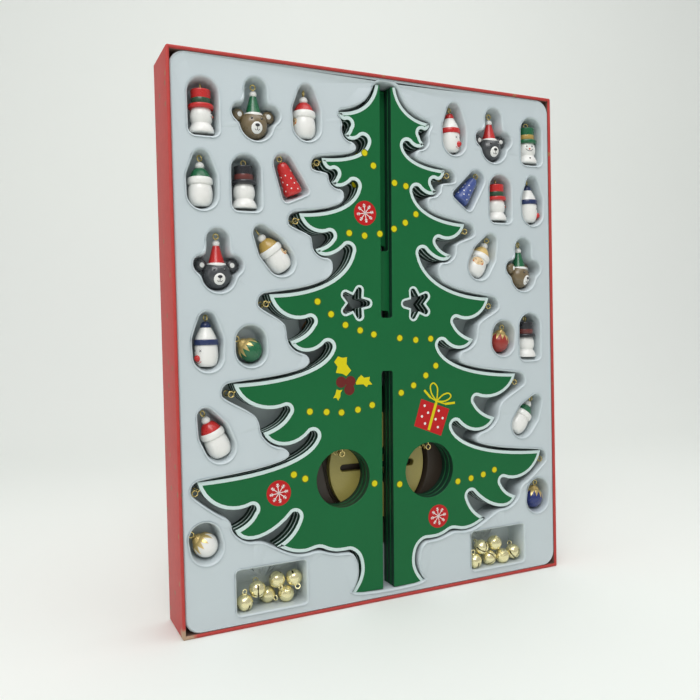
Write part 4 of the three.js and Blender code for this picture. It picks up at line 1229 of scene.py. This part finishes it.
def make_garland(body, name, front, mirrored, behind):
    """Yellow dots in olive rings, repeated over the points of a garland by a node tree."""
    side = -1 if mirrored else 1
    shown_dots = [(x, z) for x, z in DOTS if not behind or abs(x) - DOT_RADIUS > PLAIN_HALF]
    mesh = bpy.data.meshes.new(name)
    mesh.from_pydata([metres(side * x, front - PAINT, z) for x, z in shown_dots], [], [])
    made = bpy.data.objects.new(name, mesh)
    bpy.context.scene.collection.objects.link(made)
    tree = bpy.data.node_groups.new(name + "_repeat", "GeometryNodeTree")
    tree.interface.new_socket("Points", in_out="INPUT", socket_type="NodeSocketGeometry")
    size = tree.interface.new_socket("Dot radius", in_out="INPUT", socket_type="NodeSocketFloat")
    rim = tree.interface.new_socket("Ring width", in_out="INPUT", socket_type="NodeSocketFloat")
    raise_by = tree.interface.new_socket("Paint", in_out="INPUT", socket_type="NodeSocketFloat")
    tree.interface.new_socket("Geometry", in_out="OUTPUT", socket_type="NodeSocketGeometry")
    start = tree.nodes.new("NodeGroupInput").outputs
    end = tree.nodes.new("NodeGroupOutput")
    joined = tree.nodes.new("GeometryNodeJoinGeometry")
    for material, grown, level in ((YELLOW, False, 1.5), (OLIVE, True, 1.0)):
        disc = tree.nodes.new("GeometryNodeMeshCircle")
        disc.fill_type = "NGON"
        disc.inputs["Vertices"].default_value = 28
        if grown:
            total = tree.nodes.new("ShaderNodeMath")
            total.operation = "ADD"
            tree.links.new(start["Dot radius"], total.inputs[0])
            tree.links.new(start["Ring width"], total.inputs[1])
            tree.links.new(total.outputs[0], disc.inputs["Radius"])
        else:
            tree.links.new(start["Dot radius"], disc.inputs["Radius"])
        turned = tree.nodes.new("GeometryNodeTransform")
        turned.inputs["Rotation"].default_value = (math.pi / 2, 0, 0)
        tree.links.new(disc.outputs["Mesh"], turned.inputs["Geometry"])
        lift = tree.nodes.new("ShaderNodeMath")
        lift.operation = "MULTIPLY"
        lift.inputs[1].default_value = -level
        tree.links.new(start["Paint"], lift.inputs[0])
        offset = tree.nodes.new("ShaderNodeCombineXYZ")
        tree.links.new(lift.outputs[0], offset.inputs["Y"])
        tree.links.new(offset.outputs[0], turned.inputs["Translation"])
        painted = tree.nodes.new("GeometryNodeSetMaterial")
        painted.inputs["Material"].default_value = material
        tree.links.new(turned.outputs[0], painted.inputs["Geometry"])
        copies = tree.nodes.new("GeometryNodeInstanceOnPoints")
        tree.links.new(start["Points"], copies.inputs["Points"])
        tree.links.new(painted.outputs[0], copies.inputs["Instance"])
        tree.links.new(copies.outputs[0], joined.inputs[0])
    real = tree.nodes.new("GeometryNodeRealizeInstances")
    tree.links.new(joined.outputs[0], real.inputs[0])
    tree.links.new(real.outputs[0], end.inputs[0])
    modifier = made.modifiers.new("repeat", "NODES")
    modifier.node_group = tree
    modifier[size.identifier] = DOT_RADIUS / 1000
    modifier[rim.identifier] = RING_WIDTH / 1000
    modifier[raise_by.identifier] = PAINT / 1000
    make_plain(made)
    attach(made, body)


def make_disc():
    piece = Piece("base_disc_painted")
    centre = DISC[:2]
    play = 0.15
    reach = FOOT_HALF_SPAN + 0.3
    half = PANEL_THICKNESS / 2 + play
    star = []
    crossing = half / math.sin(math.radians(30))
    for k in range(6):
        angle = 60 * k
        tip = on_circle(centre, reach - half, angle)
        for i in range(7):
            star.append(on_circle(tip, half, angle - 90 + 180 * i / 6))
        star.append(on_circle(centre, crossing, angle + 30))
    rim = circle_line(centre, DISC[2], 120)
    matrix = lean_matrix()
    slab(piece, rim, [star[::-1]], DISC_FRONT_DEPTH, DISC_THICKNESS, 0.3, GOLD_BOARD, GOLD_BOARD, matrix)
    piece.finish("disc", ["base_disc"], "disc_gold", smooth_below=35)


def make_topper():
    piece = Piece("topper_star_painted")
    x, z, radius, inner, tip = TOPPER
    line = star_line((x, z), radius, inner, tip, 0, 8)
    slab(piece, line, [], DISC_FRONT_DEPTH, DISC_THICKNESS, 0.4, TOPPER_PAINT, TOPPER_PAINT, lean_matrix())
    piece.finish("topper", ["topper_star"], "topper_orange", smooth_below=35)


# Ornaments, each standing on z = 0 and looking towards -Y


class Turned:
    """A turned shape: bands of one profile, each with its paint, and patches laid on them."""

    def __init__(self, piece, matrix, sides=48):
        self.piece = piece
        self.matrix = matrix
        self.sides = sides
        self.profile = []

    def band(self, profile, material, keep=True):
        """A band of the profile, from below upwards and then inwards."""
        if keep:
            self.profile += [p for p in profile if p[0] > 0.05]
        rows = []
        for radius, z in profile:
            radius = max(radius, 0.001)
            rows.append(
                [
                    (radius * math.sin(a), -radius * math.cos(a), z)
                    for a in (TAU * i / self.sides for i in range(self.sides))
                ]
            )
        self.piece.grid(rows, material, self.matrix)

    def radius_at(self, z):
        rows = sorted(self.profile, key=lambda p: p[1])
        return float(np.interp(z, [p[1] for p in rows], [p[0] for p in rows]))

    def surface(self, arc_right, z, turn, lift):
        radius = self.radius_at(z)
        angle = math.radians(turn) + arc_right / max(radius, 1.0)
        slope = (self.radius_at(z + 0.2) - self.radius_at(z - 0.2)) / 0.4
        flat = 1 / math.hypot(1, slope)
        out = radius + lift * flat
        return (out * math.sin(angle), -out * math.cos(angle), z - slope * flat * lift)

    def patch(self, turn, z, half_width, half_height, material, lift=0.06, sides=20, shape=None):
        """A painted patch that follows the surface, round unless a shape of reach by angle is given."""
        rows = []
        rings = 5 if half_width > 1.5 else 3
        for ring in range(rings + 1):
            share = max(ring / rings, 0.001)
            row = []
            for i in range(sides):
                a = TAU * i / sides
                reach = shape(a) if shape else 1.0
                up = z + half_height * share * reach * math.sin(a)
                right = half_width * share * reach * math.cos(a)
                row.append(self.surface(right, up, turn, lift if ring < rings else -0.05))
            rows.append(row)
        self.piece.grid(rows[::-1], material, self.matrix)

    def line(self, points, width, material, lift=0.09):
        """A thin painted line over the front, through (right, up) places."""
        path = [self.surface(x, z, 0, lift) for x, z in points]
        tube(self.piece, path, width / 2, material, sides=6, matrix=self.matrix)


def smooth_profile(points, steps=5):
    return rounded_through(points, steps) + [points[-1]]


def add_ball(piece, radius, centre, material, matrix, squeeze=(1, 1, 1), sides=28):
    rows = []
    count = sides // 2
    for j in range(count + 1):
        t = math.pi * j / count
        r = max(radius * math.sin(t), 0.001)
        z = -radius * math.cos(t)
        rows.append(
            [
                (
                    centre[0] + squeeze[0] * r * math.sin(a),
                    centre[1] - squeeze[1] * r * math.cos(a),
                    centre[2] + squeeze[2] * z,
                )
                for a in (TAU * i / sides for i in range(sides))
            ]
        )
    piece.grid(rows, material, matrix)


def top_eye(piece, top, matrix):
    radius, wire = ORNAMENT_EYE
    flipped = matrix @ Matrix.Translation((0, 0, top)) @ Matrix.Rotation(math.pi, 4, "X")
    screw_eye(piece, radius, wire, wire + 0.1, 1.2, flipped)


def button_face(body, eye_z, smile_z, spread=1.9):
    """Two dot eyes, a small nose and a smile."""
    for side in (-1, 1):
        eye = body.surface(side * spread, eye_z, 0, 0.02)
        add_ball(body.piece, 0.52, eye, BLACK, body.matrix, sides=14)
    nose = body.surface(0, mix(smile_z, eye_z, 0.45), 0, 0.05)
    add_ball(body.piece, 0.6, nose, NOSE_ORANGE, body.matrix, sides=14)
    smile = [(2.7 * s, smile_z + 1.5 * s * s) for s in (-1, -0.75, -0.5, -0.25, 0, 0.25, 0.5, 0.75, 1)]
    body.line(smile, 0.32, BLACK)


def make_hat_figure(piece, matrix, hat, band):
    body = Turned(piece, matrix)
    base = [(6.7, 0), (7.15, 0.25), (7.3, 0.8), (7.15, 2.0), (6.5, 3.6), (5.75, 4.8), (5.4, 5.4)]
    body.band([(0, 0), *smooth_profile(base, 3)], WHITE)
    head = [(5.4, 5.4), (5.75, 6.1), (6.2, 7.4), (6.4, 9.0), (6.3, 10.8), (5.9, 12.4), (5.4, 13.6)]
    body.band(smooth_profile(head, 4), WHITE)
    brim = [
        (5.4, 13.6), (6.7, 13.75), (7.15, 14.0), (7.3, 14.6),
        (7.3, 15.3), (7.1, 15.9), (6.6, 16.2), (5.5, 16.4),
    ]
    body.band(smooth_profile(brim, 3), hat, keep=False)
    body.band([(5.52, 16.3), (5.6, 16.6), (5.68, 19.3), (5.6, 19.5)], band, keep=False)
    crown = [(5.55, 19.5), (5.62, 21), (5.72, 23.4), (5.68, 24.1), (5.4, 24.45), (4.6, 24.5)]
    body.band([*smooth_profile(crown, 3), (0, 24.5)], hat, keep=False)
    button_face(body, 11.2, 8.0)
    dot = body.surface(0, 3.0, 0, 0.0)
    add_ball(piece, 0.55, dot, BLACK, matrix, sides=14)
    top_eye(piece, HAT["height"], matrix)


def make_pom_figure(piece, matrix, hat, bearded):
    body = Turned(piece, matrix)
    head = [(3.6, 0.1), (5.2, 0.9), (6.4, 2.9), (6.95, 5.4), (7.0, 7.8), (6.75, 10.2), (6.2, 12.3)]
    body.band([(0, 0), *smooth_profile(head, 5)], WHITE)
    brim = [(6.2, 12.3), (6.9, 12.6), (7.2, 13.4), (7.2, 14.8), (6.9, 15.9), (6.1, 16.5)]
    body.band(smooth_profile(brim, 5), WHITE, keep=False)
    crown = [(6.1, 16.4), (5.75, 17.4), (4.75, 19.4), (3.6, 20.9), (2.6, 21.6)]
    body.band([*smooth_profile(crown, 5), (0, 21.8)], hat, keep=False)
    add_ball(piece, 2.65, (0, 0, 23.0), WHITE, matrix, squeeze=(1, 1, 0.95))
    if bearded:
        def face(a):
            return 1.0 if math.sin(a) > -0.2 else 0.82 + 0.18 * abs(math.sin(3 * a))

        body.patch(0, 9.6, 4.9, 3.0, PEACH, sides=40, shape=face)
        for side in (-1, 1):
            strokes = [(side * 2.1 + s * 0.55, 10.3 + abs(s) * -0.35) for s in (-1, 0, 1)]
            body.line(strokes, 0.34, BLACK, lift=0.14)
            cheek = body.surface(side * 3.2, 8.7, 0, 0.02)
            add_ball(piece, 0.55, cheek, NOSE_ORANGE, matrix, squeeze=(1, 0.5, 1), sides=12)
        nose = body.surface(0, 8.8, 0, 0.1)
        add_ball(piece, 0.75, nose, PEACH, matrix, sides=14)
    else:
        button_face(body, 9.6, 5.6, spread=2.2)
    top_eye(piece, POM["height"], matrix)


def make_nose_figure(piece, matrix, cap):
    body = Turned(piece, matrix)
    lower = [(3.9, 0.1), (5.4, 1.1), (6.4, 3.2), (6.8, 6.0), (6.8, 8.6), (6.6, 11.2), (6.4, 12.5)]
    body.band([(0, 0), *smooth_profile(lower, 5)], WHITE)
    band = [(6.4, 12.4), (6.95, 12.55), (7.1, 12.9), (7.0, 15.2), (6.8, 15.6), (6.2, 15.7)]
    body.band(band, cap, keep=False)
    upper = [(6.2, 15.6), (5.8, 17.0), (4.8, 19.2), (3.7, 21.3), (3.05, 22.4)]
    body.band(smooth_profile(upper, 4), WHITE, keep=False)
    tip = [(3.05, 22.3), (3.0, 23.2), (2.6, 24.6), (1.6, 25.7), (0.6, 26.0)]
    body.band([*smooth_profile(tip, 4), (0, 26.0)], cap, keep=False)
    add_ball(piece, 1.9, (0, -6.75, 5.0), RED, matrix, sides=24)
    body.line([(-2.4, 3.3), (-1.3, 2.6), (0, 2.35), (1.3, 2.6), (2.4, 3.3)], 0.3, RED)
    for side in (-1, 1):
        centre = (side * 2.3, 9.3)
        for way in (-1, 1):
            ends = [(centre[0] + s * 0.6, centre[1] + way * s * 0.6) for s in (-1, 0, 1)]
            body.line(ends, 0.26, BLACK, lift=0.04)
    top_eye(piece, NOSE["height"], matrix)


def make_bear(piece, matrix, fur, hat):
    head = BEAR["head"]
    depth = BEAR["half_depth"]
    add_ball(piece, head, (0, 0, head), fur, matrix, squeeze=(1, depth / head, 1), sides=44)

    def on_head(right, up, lift=0.0):
        x = right
        z = up - head
        room = max(1 - (x / head) ** 2 - (z / head) ** 2, 0.0)
        return (x, -(depth * math.sqrt(room) + lift), up)

    for side in (-1, 1):
        ear = (side * BEAR["spread"], 0.6, head + BEAR["rise"])
        lining = (ear[0] - side * 0.3, ear[1] - 2.15, ear[2])
        add_ball(piece, BEAR["ear"], ear, fur, matrix, squeeze=(1, 0.7, 1), sides=28)
        add_ball(piece, 1.55, lining, WHITE, matrix, squeeze=(1, 0.4, 1), sides=20)
        add_ball(piece, 0.72, on_head(side * 2.9, 10.9, 0.0), BLACK, matrix, squeeze=(1, 0.6, 1), sides=14)
        # A small white dot on each eye: a painted highlight
        add_ball(piece, 0.2, on_head(side * 2.9 - 0.18, 11.2, 0.42), PRINT_WHITE, matrix, sides=8)
    middle = 5.6
    reach = 3.5
    rows = []
    for j in range(9):
        share = max(j / 8, 0.002)
        lift = 0.42 * math.sqrt(1 - share * share) + (0.04 if j < 8 else -0.2)
        row = []
        for i in range(32):
            a = TAU * i / 32
            row.append(on_head(reach * share * math.cos(a), middle + reach * share * math.sin(a), lift))
        rows.append(row)
    piece.grid(rows[::-1], WHITE, matrix)
    add_ball(piece, 1.1, on_head(0, middle + 1.3, 0.35), BLACK, matrix, squeeze=(1.25, 0.45, 0.85), sides=18)
    mouth = [(-1.4, 0.9), (-1.05, 0.3), (-0.5, 0.15), (0, 0.65), (0.5, 0.15), (1.05, 0.3), (1.4, 0.9)]
    tube(piece, [on_head(x, middle - 1.7 + z, 0.4) for x, z in mouth], 0.19, BLACK, sides=6, matrix=matrix)
    bridge = [on_head(0, middle + z, 0.44) for z in (0.6, -0.2, -1.05)]
    tube(piece, bridge, 0.17, BLACK, sides=6, matrix=matrix)
    brim = head * 1.62
    crown = Turned(piece, matrix)
    widest = BEAR["hat"]
    roll = [
        (4.4, brim - 1.0), (5.2, brim - 0.7), (widest, brim - 0.1),
        (widest, brim + 0.8), (5.3, brim + 1.5), (4.6, brim + 1.8),
    ]
    crown.band([(0, brim - 1.6), *smooth_profile(roll, 4)], WHITE)
    top = brim + 12.2
    cone = [(4.7, brim + 1.7), (4.2, brim + 3.4), (3.3, brim + 6.6), (2.5, brim + 9.6), (1.9, top - 0.6)]
    crown.band([*smooth_profile(cone, 4), (0, top - 0.3)], hat)
    add_ball(piece, 2.25, (0, 0, top + 0.65), WHITE, matrix, squeeze=(1, 1, 0.9))
    top_eye(piece, BEAR["height"], matrix)


def make_cone_bell(piece, matrix, colour, dots):
    body = Turned(piece, matrix)
    side = [
        (4.2, 0.15), (5.2, 0.7), (5.66, 1.9), (5.6, 3.6), (5.25, 5.8), (4.85, 8.2), (4.45, 11), (4.1, 13.6),
        (3.75, 16.2), (3.3, 18.1), (2.5, 19.6), (1.3, 20.35),
    ]
    body.band([(0, 0.1), *smooth_profile(side, 4), (0, 20.5)], colour)
    chooser = random.Random(7)
    placed = []
    while len(placed) < dots:
        turn = chooser.uniform(-180, 180)
        z = chooser.uniform(1.8, 14.5)
        spot_at = Vector(body.surface(0, z, turn, 0))
        if all((spot_at - other).length > 2.9 for other in placed):
            placed.append(spot_at)
            body.patch(turn, z, 0.52, 0.52, WHITE, lift=0.05, sides=12)
    top_eye(piece, BELL["height"], matrix)


def make_bauble(piece, matrix, colour):
    radius = BAUBLE["radius"]
    add_ball(piece, radius - 0.2, (0, 0, radius), colour, matrix, squeeze=(0.97, 0.97, 1), sides=48)
    petals = 11
    rows = []
    for j in range(19):
        t = j / 18
        row = []
        for i in range(176):
            a = TAU * i / 176
            wave = abs(((a * petals / TAU) % 1) - 0.5) * 2
            length = 1.0 if int(a * petals / TAU) % 2 else 0.8
            reach = mix(44, mix(50, 88, length), (1 - wave) ** 1.15)
            theta = math.radians(mix(8, reach, t))
            ridge = 0.2 * math.cos(theta * 15) * max(0, 1 - theta / 0.7)
            r = radius - 0.1 + ridge + (0.04 if t < 1 else -0.3)
            across = 0.975 * r * math.sin(theta)
            row.append((across * math.sin(a), -across * math.cos(a), radius + r * math.cos(theta)))
        rows.append(row)
    piece.grid(rows[::-1], PALE_GOLD, matrix)
    cap = Turned(piece, matrix)
    top = 2 * radius
    stub = [
        (3.5, top - 1.0), (3.45, top - 0.5), (3.2, top - 0.25), (3.0, top - 0.2), (2.95, top + 0.1),
        (2.7, top + 0.35), (2.3, top + 0.4), (2.2, top + 0.8), (1.7, top + 1.05),
    ]
    cap.band([*smooth_profile(stub, 4), (0, top + 1.23)], PALE_GOLD)
    top_eye(piece, BAUBLE["height"], matrix)


LOOKS = {
    "snowman_red_top_hat": (make_hat_figure, RED, BAND_GREEN),
    "snowman_black_top_hat": (make_hat_figure, BLACK, BAND_RED),
    "snowman_green_top_hat": (make_hat_figure, GREEN, GOLD_PAINT),
    "snowman_red_top_hat_second": (make_hat_figure, RED, BAND_GREEN),
    "snowman_black_top_hat_second": (make_hat_figure, BLACK, BAND_RED),
    "beard_head_red_hat": (make_pom_figure, RED, True),
    "snowman_green_pom_hat": (make_pom_figure, GREEN, False),
    "beard_head_gold_hat": (make_pom_figure, GOLD_PAINT, True),
    "snowman_red_pom_hat": (make_pom_figure, RED, False),
    "beard_head_cream_hat": (make_pom_figure, CREAM, True),
    "snowman_green_pom_hat_second": (make_pom_figure, GREEN, False),
    "snowman_blue_cap": (make_nose_figure, BLUE),
    "snowman_red_cap": (make_nose_figure, RED),
    "snowman_blue_cap_second": (make_nose_figure, BLUE),
    "bear_green_hat": (make_bear, BROWN, GREEN),
    "bear_red_hat": (make_bear, CHARCOAL, RED),
    "bear_red_hat_dark": (make_bear, CHARCOAL, RED),
    "bear_green_hat_second": (make_bear, BROWN, GREEN),
    "cone_bell_red": (make_cone_bell, RED, 26),
    "cone_bell_blue": (make_cone_bell, BELL_BLUE, 34),
    "bauble_green": (make_bauble, GREEN),
    "bauble_white": (make_bauble, WHITE),
    "bauble_red": (make_bauble, DEEP_RED),
    "bauble_blue": (make_bauble, NIGHT_BLUE),
}


def ornament_matrix(kind, at, tilt, aside, turn, lean):
    pivot = BAUBLE["radius"] if kind == "bauble" else 0
    inner = Matrix.Rotation(math.radians(lean), 4, "Y") @ Matrix.Translation((0, 0, -pivot))
    inner = Matrix.Translation((aside, 0, pivot + KINDS[kind]["stand"])) @ inner
    whole = Matrix.Rotation(math.radians(tilt), 4, "Y") @ inner @ Matrix.Rotation(math.radians(-turn), 4, "Z")
    return Matrix.Translation((at[0], FIGURE_FRONT_DEPTH + KINDS[kind]["half_depth"], at[1])) @ whole


def make_ornaments():
    slots = {s["node"]: s["material_slot"] for s in frame["record"]["subparts"]}
    for name, kind, at, tilt, aside, turn, lean in ORNAMENTS:
        piece = Piece(name + "_painted")
        maker, *settings = LOOKS[name]
        maker(piece, ornament_matrix(kind, at, tilt, aside, turn, lean), *settings)
        piece.finish(name, [name], slots[name], smooth_below=50)


# Jingle bells


BELL_RADIUS = 5
BELL_WALL = 0.45
BELL_SLIT_HALF = 0.36
BELL_LOOP = (1.45, 0.42)
# Each bell: its centre in the bin, its depth, where its loop points across, its tip forwards and its spin
LEFT_BELLS = [
    ((7, 5.7), 7.5, 88, 0, 20),
    ((15.1, 12.1), 8, 80, -50, -15),
    ((28.5, 14.7), 10.6, -84, 60, 60),
    ((39, 14.6), 9.5, -80, 45, 10),
    ((23.3, 5.7), 13.7, -20, 55, 20),
    ((33.8, 5.7), 9.9, 96, 60, 35),
]
RIGHT_BELLS = [
    ((12.2, 13.8), 7, 104, -60, 30),
    ((5.9, 5.6), 6, 100, 0, 0),
    ((23.9, 14.8), 7.7, 105, 40, 70),
    ((18.6, 5.6), 7.3, 172, -50, 45),
    ((28.9, 5.6), 6, 130, 50, 15),
    ((39.1, 6.8), 7.5, 84, -40, -60),
]
BELL_PROFILE = [
    (0.3, -4.72), (1.5, -4.9), (3.0, -4.25), (4.2, -2.95), (4.85, -1.3), (5.0, 0.3),
    (4.65, 1.8), (3.85, 3.05), (2.75, 4.0), (1.6, 4.65), (0.5, 4.95),
]


def make_bell(piece, matrix):
    """A shell that tapers to its loop. Crossed slits part the four petals at its other end."""
    sides = 64
    profile = smooth_profile(BELL_PROFILE, 4)
    for wall, material in ((0, BELL_BRASS), (BELL_WALL, BELL_DARK)):
        rows = []
        for radius, z in profile:
            low = min(max(-z / BELL_RADIUS, 0), 1)
            row = []
            for i in range(sides):
                phi = TAU * i / sides
                petal = abs(math.sin(2 * phi)) ** 0.7
                share = (1 - 0.2 * low * low * (1 - petal)) * (1 - wall / BELL_RADIUS)
                row.append((radius * share * math.cos(phi), radius * share * math.sin(phi), z * share))
            rows.append(row)
        corners = [c for row in rows for c in row]
        faces = []
        for j in range(len(rows) - 1):
            for i in range(sides):
                k = (i + 1) % sides
                quad = (j * sides + i, j * sides + k, (j + 1) * sides + k, (j + 1) * sides + i)
                centre = sum((Vector(corners[q]) for q in quad), Vector()) / 4
                if centre.z < -0.1 * BELL_RADIUS and min(abs(centre.x), abs(centre.y)) < BELL_SLIT_HALF:
                    continue
                faces.append(quad[::-1] if wall else quad)
        piece.add(corners, faces, material, matrix)
    add_ball(piece, 1.3, (2.0, 0.2, -0.6), BELL_BRASS, matrix, sides=16)
    reach, wire = BELL_LOOP
    middle = BELL_RADIUS + 1.1
    turns = [TAU * i / 28 for i in range(28)]
    loop = [(reach * math.cos(a), 0, middle + reach * math.sin(a)) for a in turns]
    tube(piece, loop, wire, BELL_BRASS, closed=True, matrix=matrix)
    collar = Turned(piece, matrix, sides=24)
    top = BELL_RADIUS
    collar.band([(1.5, top - 0.5), (1.3, top - 0.05), (0.7, top + 0.2), (0, top + 0.25)], BELL_BRASS)


def make_bells():
    for word, bells in (("left", LEFT_BELLS), ("right", RIGHT_BELLS)):
        for number, (at, depth, loop, tip, face) in enumerate(bells, 1):
            node = f"jingle_bell_{word}_{number}"
            piece = Piece(f"bell_{word}_{number}")
            place = Matrix.Translation((BIN_CENTRES[word] - BIN_WIDTH / 2 + at[0], depth, BIN_BOTTOM + at[1]))
            turn = Matrix.Rotation(math.radians(90 - loop), 4, "Y")
            turn = turn @ Matrix.Rotation(math.radians(tip), 4, "X")
            turn = turn @ Matrix.Rotation(math.radians(face), 4, "Z")
            make_bell(piece, place @ turn)
            piece.finish(node, [node], "brass_wire", smooth_below=60)


# Surroundings


def make_stage():
    shader = Shader("backdrop")
    finished(shader, rgba((240, 243, 238)), Gloss=0.6, Drift=0.01, Drift_scale=3.0, Mottle=0.01, Bump=0.0)
    flat = 0.55
    curve = 0.5
    profile = [(-2.0, 0.0), (flat, 0.0)]
    for i in range(1, 13):
        a = math.pi / 2 * i / 12
        profile.append((flat + curve * math.sin(a), curve - curve * math.cos(a)))
    profile.append((flat + curve, 2.4))
    turn = Matrix.Rotation(math.radians(-20), 4, "Z")
    corners = [turn @ Vector((x, y, z)) for y, z in profile for x in (-3, 3)]
    faces = [(2 * i, 2 * i + 1, 2 * i + 3, 2 * i + 2) for i in range(len(profile) - 1)]
    mesh = bpy.data.meshes.new("floor")
    mesh.from_pydata([tuple(c) for c in corners], [], faces)
    mesh.materials.append(shader.material)
    mesh.shade_smooth()
    floor = bpy.data.objects.new("floor", mesh)
    bpy.context.scene.collection.objects.link(floor)


def add_light(name, place, target, size, power):
    light = bpy.data.lights.new(name, "AREA")
    light.shape = "RECTANGLE"
    light.size, light.size_y = size
    light.energy = power
    made = bpy.data.objects.new(name, light)
    made.location = place
    made.rotation_euler = (Vector(target) - Vector(place)).to_track_quat("-Z", "Y").to_euler()
    bpy.context.scene.collection.objects.link(made)


def make_light():
    world = bpy.data.worlds.new("studio")
    world.use_nodes = True
    world.node_tree.nodes["Background"].inputs["Color"].default_value = (0.97, 0.98, 1.0, 1)
    world.node_tree.nodes["Background"].inputs["Strength"].default_value = 0.42
    bpy.context.scene.world = world
    add_light("key", (-0.5, -0.9, 1.25), (0, 0, 0.15), (0.9, 0.7), 9.5)
    add_light("top", (0.25, -0.15, 1.3), (0, 0.1, 0.1), (1.0, 1.0), 6)
    add_light("side", (-1.3, -0.1, 0.6), (0, 0, 0.15), (0.8, 0.9), 3.2)


make_stage()
make_light()
make_carton()
make_insert()
make_disc()
make_topper()
make_panel("tree_panel_back", "panel_back", 2, BACK_SLOTS, False)
make_panel("tree_panel_middle", "panel_middle", 1, MIDDLE_SLOTS, True)
make_panel("tree_panel_front", "panel_front", 0, FRONT_SLOTS, False)
make_front_eyes()
make_ornaments()
make_bells()
